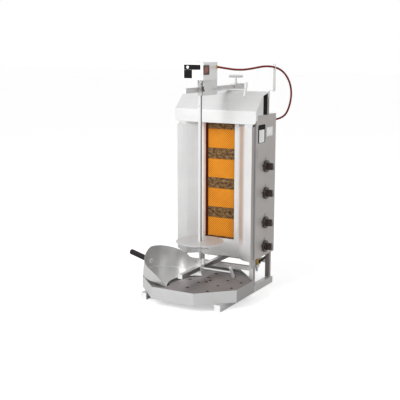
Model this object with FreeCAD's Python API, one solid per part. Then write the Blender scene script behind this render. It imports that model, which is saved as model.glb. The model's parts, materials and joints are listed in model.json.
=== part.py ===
import FreeCAD, Part
import math
import os

# Gas doner kebab grill with four burners, a rising spit drive and a drip tray.
# Millimetres. X is the knob side, Y the back, Z up.
# The sizes below are measured from the axis of the spit; save() then moves every
# shape so that the origin lies under the middle of the outline seen from above.

V = FreeCAD.Vector

# Where the spit stands, seen from the origin of the saved shapes
spit_from_origin_x = 59.6
spit_from_origin_y = -82.0

# Frame
rail_width = 28.0
rail_height = 30.0
rail_outer_x = 199.0
rail_front_y = -178.0
rail_length = 530.0
tube_wall = 1.5
post_size = 20.0
post_outer_x = 189.0
front_post_y = 170.0
cross_tube_bottom_z = 97.4
post_top_z = 752.0
cap_thickness = 3.0

# Arms that carry the spit
arm_size = 20.0
lower_arm_front_y = -171.0
upper_arm_front_y = -136.0
upper_arm_behind_posts = 62.0
upper_arm_bottom_z = 911.5
arm_slot_height = 5.0
lower_slot_front_y = -130.0
lower_slot_rear_y = 110.0
slide_clearance = 0.3
column_width = 26.0
sleeve_before_posts = 38.0
sleeve_wall = 3.0

# Housing of the burners
housing_half_width = 197.0
housing_bottom_z = 152.0
housing_top_z = 804.0
housing_behind_rails = 14.0
sheet = 1.5
panel_front_y = 157.0
sight_slot_bottom_z = 611.0
sight_slot_height = 45.0
apron_y = 179.0
apron_bottom_z = 147.0
opening_half_width = 79.0
opening_bottom_z = 229.5
opening_top_z = 786.0
apron_half_width = 99.0
reflector_x = 145.5
reflector_y = 139.5
wing_outer_x = 189.75
wing_edge_y = 126.5
wing_top_z = 757.0
wing_flange_bottom_z = 113.0

# Burners
burner_count = 4
burner_pitch = 137.6
burner_first_z = 233.7
plaque_width = 138.0
plaque_height = 92.0
plaque_thickness = 12.0
plaque_y = 198.5
burner_depth = 60.0
burner_wall = 2.0

# Hood
hood_half_width = 206.0
hood_front_y = 133.0
hood_bottom_z = 768.0
hood_band_top_z = 825.0
hood_ridge_y = 207.0
hood_ridge_z = 892.0
hood_rear_y = 271.0
hood_rear_z = 906.5
hood_corner = 16.0
mast_x = 195.0
mast_y = 261.0

# Taps and knobs
knob_y = 259.5
knob_heights = (197.3, 309.3, 446.8, 570.3)
knob_skirt = 56.0
knob_skirt_length = 8.0
knob_grip = 36.0
knob_length = 37.0
knob_gap = 2.5
spindle_diameter = 8.0
spindle_length = 24.0
plug_behind_panel = 28.0
tap_behind_panel = 37.0
pipe_behind_tap = 22.0
cock_top_z = 144.5
plug_diameter = 15.0
plug_length = 22.0
tap_outer = 24.0
manifold_diameter = 16.0
manifold_behind_panel = 19.0
manifold_y = 222.0
fit_gap = 0.05

# Motor and its carriage
carriage_width = 31.0
carriage_front_y = 4.0
carriage_length = 123.0
carriage_bottom_z = 895.5
motor_bottom_z = 965.0
carriage_wall = 2.5
motor_half_width = 52.0
motor_front_y = -65.0
motor_length = 127.0
motor_height = 74.0
guide_length = 14.0
switch_width = 48.0
switch_height = 41.0
switch_below_lid = 11.0
rocker_pivot_radius = 1.5
release_x = 15.0
release_y = -16.0
release_z = 957.0

# Spit
rod_size = 12.5
rod_top_z = 909.0
rod_bottom_z = 216.0
tip_top_z = 207.0
tip_diameter = 12.0
tip_point_z = 152.0
plate_diameter = 214.0
plate_thickness = 3.0
plate_z = 248.0
hub_diameter = 22.0
rod_clearance = 0.3
bar_length = 78.0
bar_turn = 29.0

# Lower bearing
bearing_width = 26.6
bearing_length = 32.0
cup_diameter = 22.0
cup_top_z = 162.0
bearing_pad_z = 150.0

# Clamp handles with a cross bar
grip_length = 66.0
grip_diameter = 13.0
stem_diameter = 9.0
screw_diameter = 6.0
carriage_screw_y = 94.0
carriage_stem = 156.0
shaft_diameter = 12.0
socket_diameter = 20.0
arm_shaft_slot = 14.0
bearing_stem = 148.0
arm_screw_before_posts = 1.0
arm_stem = 30.0

# Drip tray and its cover
tray_half_width = 239.0
tray_front_y = -240.0
tray_rear_y = 204.0
tray_corner = 136.0
tray_height = 54.0
tray_wall = 1.5
tray_cover_drop = 9.0
cover_gap = 1.0
tray_gap = 0.3
cover_rise = 4.0
hole_diameter = 14.0
hole_columns = (-168.0, -70.0, 28.0, 126.0, 193.0)
hole_rows = (-158.0, -63.0, 30.0, 102.0)
drain_holes = ((-28.0, -39.0), (55.0, -38.0), (58.0, -8.0))

# Meat scoop that lies on the tray
scoop_x = -28.0
scoop_y = -84.0
scoop_turn = 169.0
scoop_radius = 119.0
scoop_straight = 94.0
scoop_sheet = 1.5
scoop_tilt = 7.0
scoop_front_z = 79.5
scoop_mouth_rise = 52.0
scoop_heel = 26.0
scoop_far_rim = ((0.0, 2.0), (30.0, 35.0), (83.0, 70.0), (148.0, 91.0), (213.0, 106.0))
scoop_near_rim = ((0.0, 2.0), (40.0, 21.0), (97.0, 45.0), (160.0, 62.0), (195.0, 80.0), (213.0, 106.0))
scoop_handle_length = 118.0
scoop_handle_diameter = 25.0

# Cord from the motor to the back of the housing
cord_diameter = 9.0
gland_length = 18.0
gland_width = 20.0
motor_gland_length = 8.0
motor_gland_width = 16.0
gland_thread = 12.0
motor_gland_from_back = 10.0
motor_gland_below_lid = 21.0
housing_gland_from_side = 47.0
housing_gland_below_top = 38.0
cord_route = (
    (96.0, 56.0, 1013.0), (124.0, 82.0, 1007.0),
    (152.0, 124.0, 1006.0), (180.0, 168.0, 1013.0), (206.0, 214.0, 1021.0),
    (232.0, 262.0, 1017.0), (250.0, 306.0, 1000.0), (258.0, 350.0, 968.0),
    (258.0, 388.0, 928.0), (250.0, 416.0, 880.0), (234.0, 432.0, 832.0),
    (214.0, 440.0, 794.0), (188.0, 444.0, 776.0), (164.0, 436.0, 768.0), (151.5, 412.0, 766.0))
hook_x = 232.0
hook_width = 13.0
hook_sheet = 2.0

# Places that follow from the sizes above
post_x = post_outer_x - post_size / 2
rear_post_y = rail_front_y + rail_length - post_size / 2
housing_rear_y = rail_front_y + rail_length + housing_behind_rails
upper_arm_rear_y = rear_post_y + upper_arm_behind_posts
sleeve_front_y = rear_post_y - sleeve_before_posts
arm_screw_y = rear_post_y - arm_screw_before_posts
plug_x = housing_half_width - plug_behind_panel
tap_rear_x = housing_half_width - tap_behind_panel
manifold_x = housing_half_width - manifold_behind_panel
rail_x = rail_outer_x - rail_width / 2
cross_tube_top_z = cross_tube_bottom_z + post_size
upper_arm_z = upper_arm_bottom_z + arm_size / 2
lower_arm_z = cross_tube_top_z + arm_size / 2
tray_top_z = rail_height + tray_height
burner_z = [burner_first_z + burner_pitch * n for n in range(burner_count)]
knob_x = housing_half_width + knob_gap
motor_top_z = motor_bottom_z + motor_height
motor_rear_y = motor_front_y + motor_length
switch_front_y = motor_front_y
switch_rear_y = switch_front_y + switch_width
switch_top_z = motor_top_z - switch_below_lid
switch_bottom_z = switch_top_z - switch_height
rocker_pivot_z = (switch_bottom_z + switch_top_z) / 2
motor_gland_y = motor_rear_y - motor_gland_from_back
motor_gland_z = motor_top_z - motor_gland_below_lid
housing_gland_x = housing_half_width - housing_gland_from_side
housing_gland_z = housing_top_z - housing_gland_below_top
cord_points = ((motor_half_width + motor_gland_length, motor_gland_y, motor_gland_z), *cord_route,
               (housing_gland_x, housing_rear_y + gland_length, housing_gland_z))
sleeve_outer = arm_size + 2 * sleeve_wall


def box(x0, x1, y0, y1, z0, z1):
    return Part.makeBox(x1 - x0, y1 - y0, z1 - z0, V(x0, y0, z0))


def rod(radius, length, base, direction):
    return Part.makeCylinder(radius, length, V(*base), V(*direction))


def cone(r0, r1, length, base, direction):
    return Part.makeCone(r0, r1, length, V(*base), V(*direction))


def polygon(points):
    return Part.makePolygon([V(*p) for p in points] + [V(*points[0])])


def prism(points, along):
    return Part.Face(polygon(points)).extrude(V(*along))


def mirror_x(shape):
    return shape.mirror(V(0, 0, 0), V(1, 0, 0))


def fuse(shapes):
    first = shapes[0]
    return first.fuse(shapes[1:]).removeSplitter() if len(shapes) > 1 else first


def group(shapes):
    return Part.makeCompound(shapes)


def save(name, shape):
    moved = shape.translated(V(spit_from_origin_x, spit_from_origin_y, 0))
    moved.exportStep("parts/" + name + ".step")


# A square tube along Z, X or Y, hollow, given by its outer corner box
def tube_z(x, y, z0, z1, size):
    half = size / 2
    outer = box(x - half, x + half, y - half, y + half, z0, z1)
    inner = half - tube_wall
    return outer.cut(box(x - inner, x + inner, y - inner, y + inner, z0, z1))


def tube_x(x0, x1, y, z, size):
    half = size / 2
    inner = half - tube_wall
    outer = box(x0, x1, y - half, y + half, z - half, z + half)
    return outer.cut(box(x0, x1, y - inner, y + inner, z - inner, z + inner))


# The outline of a bent strip of sheet whose middle line runs through the points
def strip_outline(points, thickness):
    half = thickness / 2
    sides = []
    for sign in (1, -1):
        side = []
        for n, (x, y) in enumerate(points):
            before = points[max(n - 1, 0)]
            after = points[min(n + 1, len(points) - 1)]
            ax, ay = x - before[0], y - before[1]
            bx, by = after[0] - x, after[1] - y
            if n == 0:
                ax, ay = bx, by
            if n == len(points) - 1:
                bx, by = ax, ay
            la, lb = math.hypot(ax, ay), math.hypot(bx, by)
            nx, ny = -(ay / la + by / lb), ax / la + bx / lb
            scale = half * 2 / (nx * nx + ny * ny)
            side.append((x + sign * nx * scale, y + sign * ny * scale))
        sides.append(side)
    return sides[0] + sides[1][::-1]


def folded_z(points, z0, z1, thickness):
    outline = [(x, y, z0) for x, y in strip_outline(points, thickness)]
    return prism(outline, (0, 0, z1 - z0))


def folded_x(points, x0, x1, thickness):
    outline = [(x0, y, z) for y, z in strip_outline(points, thickness)]
    return prism(outline, (x1 - x0, 0, 0))


# Rails, posts and cross tubes
def make_rail(side):
    half = rail_width / 2
    rear = rail_front_y + rail_length
    x = side * rail_x
    outer = box(x - half, x + half, rail_front_y, rear, 0, rail_height)
    inner = box(x - half + tube_wall, x + half - tube_wall, rail_front_y, rear,
                tube_wall, rail_height - tube_wall)
    return outer.cut(inner)


def make_rail_caps():
    caps = []
    inset = tube_wall + slide_clearance
    for side in (-1, 1):
        for y, inward in ((rail_front_y, 1), (rail_front_y + rail_length, -1)):
            x0 = side * rail_x - rail_width / 2
            x1 = x0 + rail_width
            plate = box(x0, x1, min(y, y - inward * cap_thickness), max(y, y - inward * cap_thickness),
                        0.2, rail_height)
            plug = box(x0 + inset, x1 - inset, min(y, y + inward * 10), max(y, y + inward * 10),
                       inset, rail_height - inset)
            edges = [e for e in plate.Edges if abs(e.tangentAt(0).y) > 0.9]
            caps.append(plate.makeFillet(2.5, edges).fuse(plug).removeSplitter())
    return group(caps)


def make_posts(y, top):
    return group([tube_z(side * post_x, y, rail_height, top, post_size) for side in (-1, 1)])


def make_cross_tube(y):
    inner = post_x - post_size / 2
    return tube_x(-inner, inner, y, cross_tube_bottom_z + post_size / 2, post_size)


# A square tube along Y; the slot in its right face takes the screw of the clamp
def make_arm(y0, y1, z, slot_front, slot_rear):
    half = arm_size / 2
    inner = half - tube_wall
    tube = box(-half, half, y0, y1, z - half, z + half)
    tube = tube.cut(box(-inner, inner, y0, y1, z - inner, z + inner))
    slot = box(0, half + 1, slot_front, slot_rear, z - arm_slot_height / 2, z + arm_slot_height / 2)
    return tube.cut(slot)


# The upper arm is also open above and below so that the drive shaft can travel along it
def make_upper_arm():
    tube = make_arm(upper_arm_front_y, upper_arm_rear_y, upper_arm_z, carriage_screw_y - 110,
                    carriage_screw_y + 70)
    half = arm_shaft_slot / 2
    return tube.cut(box(-half, half, -112, 72, upper_arm_z - arm_size, upper_arm_z + arm_size))


def make_arm_caps():
    half = arm_size / 2
    inset = half - tube_wall - slide_clearance
    caps = []
    for y, z in ((lower_arm_front_y, lower_arm_z), (upper_arm_front_y, upper_arm_z)):
        plate = box(-half, half, y - cap_thickness, y, z - half, z + half)
        edges = [e for e in plate.Edges if abs(e.tangentAt(0).y) > 0.9]
        plug = box(-inset, inset, y, y + 8, z - inset, z + inset)
        caps.append(plate.makeFillet(2.0, edges).fuse(plug).removeSplitter())
    return group(caps)


# A central column holds the rear of both arms
def make_column():
    half = column_width / 2
    depth = post_size / 2
    z0, z1 = cross_tube_top_z, upper_arm_bottom_z - sleeve_wall
    outer = box(-half, half, rear_post_y - depth, rear_post_y + depth, z0, z1)
    return outer.cut(box(-half + tube_wall, half - tube_wall, rear_post_y - depth + tube_wall,
                         rear_post_y + depth - tube_wall, z0, z1))


def make_arm_sleeve():
    half = sleeve_outer / 2
    hole = arm_size / 2 + slide_clearance
    z = upper_arm_z
    rear = upper_arm_rear_y
    outer = box(-half, half, sleeve_front_y, rear, z - half, z + half)
    outer = outer.cut(box(-hole, hole, sleeve_front_y - 1, rear + 1, upper_arm_bottom_z, z + hole))
    boss = rod(stem_diameter, 5, (0, arm_screw_y, z + half), (0, 0, 1))
    screw_hole = rod(screw_diameter / 2 + fit_gap, 12, (0, arm_screw_y, z + half - 4), (0, 0, 1))
    return outer.fuse(boss).cut(screw_hole).removeSplitter()


# Housing
def make_housing_shell():
    left = -housing_half_width + sheet / 2
    right = housing_half_width - sheet
    front = front_post_y + post_size / 2
    rear = housing_rear_y - sheet
    wall = folded_z([(left + 5, panel_front_y + sheet / 2), (left, panel_front_y + sheet / 2),
                     (left, rear + sheet / 2), (left + 14, rear + sheet / 2)],
                    housing_bottom_z, housing_top_z, sheet)
    top = box(left, right, front, rear, housing_top_z - sheet, housing_top_z)
    bottom = box(left, right, front, rear, housing_bottom_z, housing_bottom_z + sheet)
    strips = [box(left, -apron_half_width, front, front + sheet, housing_bottom_z, housing_top_z),
              box(apron_half_width, right, front, front + sheet, housing_bottom_z, housing_top_z)]
    shell = fuse([wall, top, bottom] + strips)
    shell = shell.cut(box(-apron_half_width, apron_half_width, apron_y, apron_y + 3 * sheet,
                          housing_bottom_z - 1, housing_top_z + 1))
    half = post_size / 2
    for side in (-1, 1):
        shell = shell.cut(box(side * post_x - half, side * post_x + half, rear_post_y - half,
                              rear_post_y + half, housing_bottom_z - 1, housing_bottom_z + 3))
    half = column_width / 2
    deep = post_size / 2
    shell = shell.cut(box(-half, half, rear_post_y - deep, rear_post_y + deep,
                          housing_bottom_z - 1, housing_top_z + 1))
    return shell.cut(rod(manifold_diameter / 2, 6, (manifold_x, manifold_y, housing_bottom_z - 2), (0, 0, 1)))


def make_control_panel():
    outer = housing_half_width - sheet / 2
    points = [(outer - 5, panel_front_y + sheet / 2), (outer, panel_front_y + sheet / 2),
              (outer, housing_rear_y - sheet / 2), (outer - 14, housing_rear_y - sheet / 2)]
    panel = folded_z(points, housing_bottom_z, housing_top_z, sheet)
    for z in knob_heights:
        panel = panel.cut(rod(spindle_diameter / 2 + 1.5, 6, (outer - 3, knob_y, z), (1, 0, 0)))
    return panel.cut(box(outer - 2, outer + 2, panel_front_y + 10, panel_front_y + 14,
                         sight_slot_bottom_z, sight_slot_bottom_z + sight_slot_height))


# The rear cover is screwed on and has rows of raised air slots
def make_rear_cover():
    half = housing_half_width - sheet
    y = housing_rear_y
    cover = box(-half, half, y, y + sheet, housing_bottom_z, housing_top_z)
    slots = []
    for row in range(8):
        z = housing_bottom_z + 120 + row * 62
        for x in (-110, 110):
            slots.append(box(x - 45, x + 45, y - 1, y + sheet + 1, z + 1, z + 5))
            hood_part = prism([(x - 45, y + sheet, z + 9), (x - 45, y + sheet + 6, z + 3),
                               (x - 45, y + sheet + 6, z + 1.5), (x - 45, y + sheet, z + 7)], (90, 0, 0))
            cover = cover.fuse(hood_part)
    cover = cover.cut(slots)
    return cover.cut(rod(cord_diameter / 2 + 2, 8, (housing_gland_x, y - 2, housing_gland_z), (0, 1, 0)))


def make_apron():
    plate = box(-apron_half_width, apron_half_width, apron_y, apron_y + sheet, apron_bottom_z, housing_top_z)
    plate = plate.cut(box(-opening_half_width, opening_half_width, apron_y - 1, apron_y + sheet + 1,
                          opening_bottom_z, opening_top_z))
    sides = []
    for side in (-1, 1):
        x0, x1 = sorted((side * apron_half_width, side * (apron_half_width - sheet)))
        sides.append(box(x0, x1, apron_y, apron_y + 3 * sheet, apron_bottom_z, housing_top_z))
    bottom = box(-apron_half_width, apron_half_width, apron_y, apron_y + 12, apron_bottom_z,
                 apron_bottom_z + sheet)
    return fuse([plate] + sides + [bottom])


# A reflector wing: slanted reflector, front strip and side flange, folded from one sheet
def make_wing(side):
    rear = front_post_y + post_size / 2
    points = [(apron_half_width + 1, apron_y - 0.9), (reflector_x, reflector_y),
              (wing_outer_x, wing_edge_y), (wing_outer_x, rear)]
    strip = folded_z(points, apron_bottom_z, wing_top_z, sheet)
    flange = prism([(wing_outer_x - sheet / 2, rear, wing_flange_bottom_z + 5),
                    (wing_outer_x - sheet / 2, rear, apron_bottom_z + 5),
                    (wing_outer_x - sheet / 2, wing_edge_y + 1, apron_bottom_z + 5),
                    (wing_outer_x - sheet / 2, wing_edge_y + 1, wing_flange_bottom_z)], (sheet, 0, 0))
    wing = strip.fuse(flange).removeSplitter()
    if side < 0:
        y = wing_edge_y - 10
        wing = wing.cut(prism([(reflector_x + 2, y, apron_bottom_z - 50), (reflector_x + 2, y, apron_bottom_z),
                               (wing_outer_x + 4, y, apron_bottom_z + 27), (wing_outer_x + 4, y, apron_bottom_z - 50)],
                              (0, 90, 0)))
        wing = mirror_x(wing)
    return wing


# Hood: one folded sheet with two cheeks and a rounded front band
def make_hood():
    half = hood_half_width
    y = hood_front_y + sheet / 2
    profile = [(y, hood_bottom_z), (y, hood_band_top_z), (hood_ridge_y, hood_ridge_z - sheet / 2),
               (hood_rear_y, hood_rear_z - sheet / 2)]
    sheet_top = folded_x(profile, -half, half, sheet)
    for side in (-1, 1):
        x0, x1 = sorted((side * (half + 1), side * (half - hood_corner)))
        block = box(x0, x1, hood_front_y - 2, hood_front_y + 4, hood_bottom_z - 1,
                    hood_bottom_z + hood_corner)
        block = block.cut(rod(hood_corner, 8, (side * (half - hood_corner), hood_front_y - 3,
                                               hood_bottom_z + hood_corner), (0, 1, 0)))
        sheet_top = sheet_top.cut(block)
    cheeks = []
    low = housing_top_z + 3
    inset = 1.2
    for x in (-half, half - sheet):
        cheeks.append(prism([(x, hood_front_y + inset, hood_bottom_z + hood_corner),
                             (x, hood_front_y + inset, hood_band_top_z),
                             (x, hood_ridge_y, hood_ridge_z - inset), (x, hood_ridge_y, low),
                             (x, hood_front_y + 17, low), (x, hood_front_y + 17, hood_bottom_z + hood_corner)],
                            (sheet, 0, 0)))
    return fuse([sheet_top] + cheeks)


# The masts are cut off along the slope of the hood, which rests on them
def make_masts():
    high = hood_rear_z + 5
    masts = group([tube_z(side * mast_x, mast_y, housing_top_z, high, post_size) for side in (-1, 1)])
    y0, z0, y1, z1 = hood_ridge_y, hood_ridge_z - sheet / 2, hood_rear_y, hood_rear_z - sheet / 2
    length = math.hypot(y1 - y0, z1 - z0)
    drop = sheet / 2 * length / (y1 - y0)
    slope = (z1 - z0) / (y1 - y0)
    x = -hood_half_width - 2
    above = prism([(x, y0, z0 - drop), (x, y1 + 5, z1 - drop + 5 * slope), (x, y1 + 5, z1 + 60),
                   (x, y0, z1 + 60)], (2 * hood_half_width + 4, 0, 0))
    return masts.cut(above)


def make_top_cross_tube():
    inner = mast_x - post_size / 2
    return tube_x(-inner, inner, mast_y, hood_rear_z - 17.5, post_size)


# Burners: a slanted frame in front, plaques in its windows, a box and a pipe behind each
def make_burner_frame():
    y0 = apron_y + sheet
    y1 = plaque_y
    outer = opening_half_width
    inner = plaque_width / 2 - 1
    z0, z1 = opening_bottom_z, opening_top_z
    walls = [box(-inner, inner, y0, y1, z0 - sheet, z0), box(-inner, inner, y0, y1, z1, z1 + sheet)]
    for side in (-1, 1):
        walls.append(prism([(side * outer, y0, z0), (side * (outer + 2), y0, z0),
                            (side * (inner + 4), y1 + sheet, z0), (side * inner, y1, z0)], (0, 0, z1 - z0)))
    plate = box(-inner - 4, inner + 4, y1, y1 + sheet, z0 - 3, z1 + 3)
    for z in burner_z:
        plate = plate.cut(box(-inner, inner, y1 - 1, y1 + sheet + 1, z, z + plaque_height - 2))
    teeth = []
    pitch = 6.0
    for z in burner_z:
        count = int(2 * inner / pitch)
        for n in range(count):
            x = -inner + (n + 0.5) * 2 * inner / count
            top = z + plaque_height - 2
            teeth.append(prism([(x - 2.6, y1, top + 1), (x + 2.6, y1, top + 1), (x, y1, top - 4.5)],
                               (0, sheet, 0)))
    return fuse([plate] + walls + teeth)


def make_plaques():
    inner = plaque_width / 2
    return group([box(-inner, inner, plaque_y + sheet, plaque_y + sheet + plaque_thickness,
                      z - 1, z + plaque_height - 1) for z in burner_z])


def make_burner_bodies():
    bodies = []
    y0 = plaque_y + sheet
    for z in burner_z:
        wide = plaque_width / 2 + 5
        z0, z1 = z - 6, z + plaque_height + 4
        body = box(-wide, wide, y0, y0 + burner_depth, z0, z1)
        body = body.cut(box(-wide + burner_wall, wide - burner_wall, y0 + burner_wall, y0 + burner_depth - burner_wall,
                            z0 + burner_wall, z1 - burner_wall))
        hole = plaque_width / 2 + 0.3
        body = body.cut(box(-hole, hole, y0 - 1, y0 + burner_wall + 1, z - 1.3, z + plaque_height - 0.7))
        neck = rod(13, 20, (wide, y0 + burner_depth / 2, z + plaque_height / 2), (1, 0, 0))
        neck = neck.cut(rod(10, 24, (wide - 2, y0 + burner_depth / 2, z + plaque_height / 2), (1, 0, 0)))
        body = body.cut(rod(10, 6, (wide - 4, y0 + burner_depth / 2, z + plaque_height / 2), (1, 0, 0)))
        bodies.append(body.fuse(neck).removeSplitter())
    return group(bodies)


# Gas way: a cock below the housing, a rising pipe, four taps and a pipe to each burner
def make_manifold():
    low, high = cock_top_z, knob_heights[-1] + 20
    pipe = rod(manifold_diameter / 2, high - low, (manifold_x, manifold_y, low), (0, 0, 1))
    pipe = pipe.cut(rod(manifold_diameter / 2 - 2, high - low - 3, (manifold_x, manifold_y, low), (0, 0, 1)))
    branches = []
    reach = knob_y - tap_outer / 2 - manifold_y
    for z in knob_heights:
        branch = rod(6, reach, (manifold_x, manifold_y, z), (0, 1, 0))
        nut = rod(9, 8, (manifold_x, manifold_y + reach - 8, z), (0, 1, 0))
        branches.append(branch.fuse(nut).cut(rod(manifold_diameter / 2 - 1, 20, (manifold_x, manifold_y, z - 10), (0, 0, 1))))
    return fuse([pipe] + branches)


def make_taps():
    taps = []
    for z in knob_heights:
        x0, x1 = tap_rear_x, tap_rear_x + 30
        half = tap_outer / 2
        body = box(x0, x1, knob_y - half, knob_y + half, z - half, z + half)
        body = body.fuse(rod(half - 1, 3.5, (x1, knob_y, z), (1, 0, 0)))
        body = body.cut(rod(plug_diameter / 2 + fit_gap, plug_length + 0.6, (plug_x - 0.3, knob_y, z), (1, 0, 0)))
        body = body.cut(rod(spindle_diameter / 2 + 0.8, 12, (plug_x + plug_length, knob_y, z), (1, 0, 0)))
        taps.append(body.removeSplitter())
    return group(taps)


def make_plug(z):
    plug = rod(plug_diameter / 2, plug_length, (plug_x, knob_y, z), (1, 0, 0))
    bore = rod(spindle_diameter / 2 + fit_gap, plug_length, (plug_x + 3, knob_y, z), (1, 0, 0))
    flat = box(plug_x, plug_x + 40, knob_y - 9, knob_y + 9, z + spindle_diameter / 2 - 1 + fit_gap, z + 12)
    return plug.cut(bore.cut(flat)).cut(rod(2.5, 6, (plug_x + 8, knob_y - 8.5, z), (0, 1, 0)))


# A knob with its spindle; the round skirt carries the ridge that the fingers turn
def make_knob(z):
    x = knob_x
    skirt = rod(knob_skirt / 2, knob_skirt_length, (x, knob_y, z), (1, 0, 0))
    skirt = skirt.makeFillet(2.0, [e for e in skirt.Edges if abs(e.BoundBox.XMin - x - knob_skirt_length) < 0.01
                                   and e.BoundBox.ZLength > 10])
    grip = cone(knob_grip / 2, knob_grip / 2 - 2, knob_length - knob_skirt_length,
                (x + knob_skirt_length, knob_y, z), (1, 0, 0))
    for side in (-1, 1):
        y0, y1 = sorted((knob_y + side * 8.5, knob_y + side * 30))
        grip = grip.cut(box(x + knob_skirt_length + 5, x + knob_length + 2, y0, y1, z - 30, z + 30))
    edges = [e for e in grip.Edges if e.BoundBox.XMin > x + knob_length - 0.1]
    grip = grip.makeFillet(1.5, edges)
    spindle = rod(spindle_diameter / 2, spindle_length + 1, (x - spindle_length, knob_y, z), (1, 0, 0))
    flat = box(x - spindle_length - 1, x - 4, knob_y - 9, knob_y + 9, z + spindle_diameter / 2 - 1, z + 12)
    return fuse([skirt, grip, spindle.cut(flat)])


# Each burner pipe leaves its tap at the rear, turns up and enters the neck of its burner
def make_burner_pipes():
    pipes = []
    y1 = plaque_y + sheet + burner_depth / 2
    for z, low in zip(burner_z, knob_heights):
        high = z + plaque_height / 2
        x0 = tap_rear_x
        x1 = tap_rear_x - pipe_behind_tap
        x2 = plaque_width / 2 + 35
        first = rod(5, x0 - x1, (x1, knob_y, low), (1, 0, 0))
        rise = rod(5, high - low, (x1, knob_y, low), (0, 0, 1))
        across = rod(5, knob_y - y1, (x1, y1, high), (0, 1, 0))
        into = rod(5, x1 - x2, (x2, y1, high), (1, 0, 0))
        corners = [Part.makeSphere(5, V(*p)) for p in ((x1, knob_y, low), (x1, knob_y, high), (x1, y1, high))]
        jet = rod(10, 14, (plaque_width / 2 + 25, y1, high), (1, 0, 0))
        nut = rod(8, 8, (x0 - 8, knob_y, low), (1, 0, 0))
        pipes.append(fuse([first, rise, across, into, jet, nut] + corners))
    return group(pipes)


def make_gas_cock():
    x0, x1 = manifold_x - 13, manifold_x + 13
    z0, z1 = cock_top_z - 28, cock_top_z
    body = box(x0, x1, manifold_y - 14, manifold_y + 14, z0, z1)
    nut = rod(12, 12, (manifold_x, manifold_y, z0 - 12), (0, 0, 1))
    barb = cone(5, 8, 22, (manifold_x, manifold_y, z0 - 34), (0, 0, 1))
    side_cap = rod(10, 6, (manifold_x, manifold_y - 20, (z0 + z1) / 2), (0, 1, 0))
    body = fuse([body, nut, barb, side_cap])
    body = body.cut(rod(3.5, 40, (manifold_x, manifold_y, z0 - 34), (0, 0, 1)))
    return body.cut(rod(4 + fit_gap, 12.6, (x1 - 12, manifold_y, (z0 + z1) / 2), (1, 0, 0)))


# The lever of the cock turns about X at its right side and points to the back
def make_cock_lever():
    z = cock_top_z - 14
    x = manifold_x + 13 + 0.4
    pin = rod(4, 13, (x - 12, manifold_y, z), (1, 0, 0))
    hub = rod(9, 4, (x, manifold_y, z), (1, 0, 0))
    blade = box(x, x + 3, manifold_y, manifold_y + 40, z - 5, z + 5)
    grip = box(x - 0.4, x + 6, manifold_y + 14, manifold_y + 58, z - 6, z + 6)
    grip = grip.makeFillet(2.5, grip.Edges)
    lever = fuse([pin, hub, blade, grip])
    lever.rotate(V(x, manifold_y, z), V(1, 0, 0), 9)
    return lever


# Motor housing with a lid line, its floor plate and the gear motor inside
def make_motor_cover():
    hw, y0 = motor_half_width, motor_front_y
    y1 = y0 + motor_length
    outer = box(-hw, hw, y0, y1, motor_bottom_z, motor_top_z)
    edges = [e for e in outer.Edges if abs(e.tangentAt(0).z) > 0.9]
    outer = outer.makeFillet(2.0, edges)
    inner = box(-hw + sheet, hw - sheet, y0 + sheet, y1 - sheet, motor_bottom_z - 1, motor_top_z - sheet)
    cover = outer.cut(inner)
    ring = box(-hw - 1, hw + 1, y0 - 1, y1 + 1, motor_top_z - 7.5, motor_top_z - 6.7)
    ring = ring.cut(box(-hw + 0.6, hw - 0.6, y0 + 0.6, y1 - 0.6, motor_top_z - 8, motor_top_z - 6))
    cover = cover.cut(ring)
    cover = cover.cut(box(hw - 3, hw + 1, switch_front_y + 3, switch_rear_y - 3, switch_bottom_z + 3, switch_top_z - 3))
    return cover.cut(rod(gland_thread / 2, 6, (hw - 3, motor_gland_y, motor_gland_z), (1, 0, 0)))


def make_motor_base():
    hw, y0 = motor_half_width - sheet, motor_front_y + sheet
    y1 = motor_front_y + motor_length - sheet
    plate = box(-hw, hw, y0, y1, motor_bottom_z, motor_bottom_z + 3)
    return plate.cut(rod(shaft_diameter / 2 + 0.35, 8, (0, 0, motor_bottom_z - 2), (0, 0, 1)))


def make_gear_motor():
    z = motor_bottom_z + 3
    gears = box(-30, 30, -28, 40, z, z + 24)
    motor = rod(24, 36, (0, 14, z + 24), (0, 0, 1))
    body = gears.fuse(motor).removeSplitter()
    return body.cut(rod(shaft_diameter / 2 + 0.35, 20, (0, 0, z - 1), (0, 0, 1)))


def make_switch_frame():
    x = motor_half_width
    frame = box(x - 10, x + 3, switch_front_y + 3, switch_rear_y - 3, switch_bottom_z + 3, switch_top_z - 3)
    rim = box(x, x + 3, switch_front_y, switch_rear_y, switch_bottom_z, switch_top_z)
    edges = [e for e in rim.Edges if abs(e.tangentAt(0).x) > 0.9]
    rim = rim.makeFillet(2.0, edges)
    window = box(x - 8, x + 4, switch_front_y + 7, switch_rear_y - 7, switch_bottom_z + 7, switch_top_z - 7)
    length = switch_rear_y - switch_front_y
    pivot = rod(rocker_pivot_radius + 0.05, length - 7.6, (x, switch_front_y + 3.8, rocker_pivot_z), (0, 1, 0))
    return rim.fuse(frame).cut([window, pivot]).removeSplitter()


# The rocker is a shallow wedge that tips about a line along Y
def make_rocker():
    x = motor_half_width
    y0, y1 = switch_front_y + 7.3, switch_rear_y - 7.3
    z0, z1 = switch_bottom_z + 8, switch_top_z - 8
    middle = (z0 + z1) / 2
    points = [(x - 4, y0, z0 + 3), (x + 1.2, y0, z0), (x + 2.2, y0, middle), (x + 4.6, y0, z1), (x - 4, y0, z1 - 3)]
    pivot = rod(rocker_pivot_radius, y1 - y0 + 6, (x, y0 - 3, rocker_pivot_z), (0, 1, 0))
    return prism(points, (0, y1 - y0, 0)).fuse(pivot)


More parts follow.
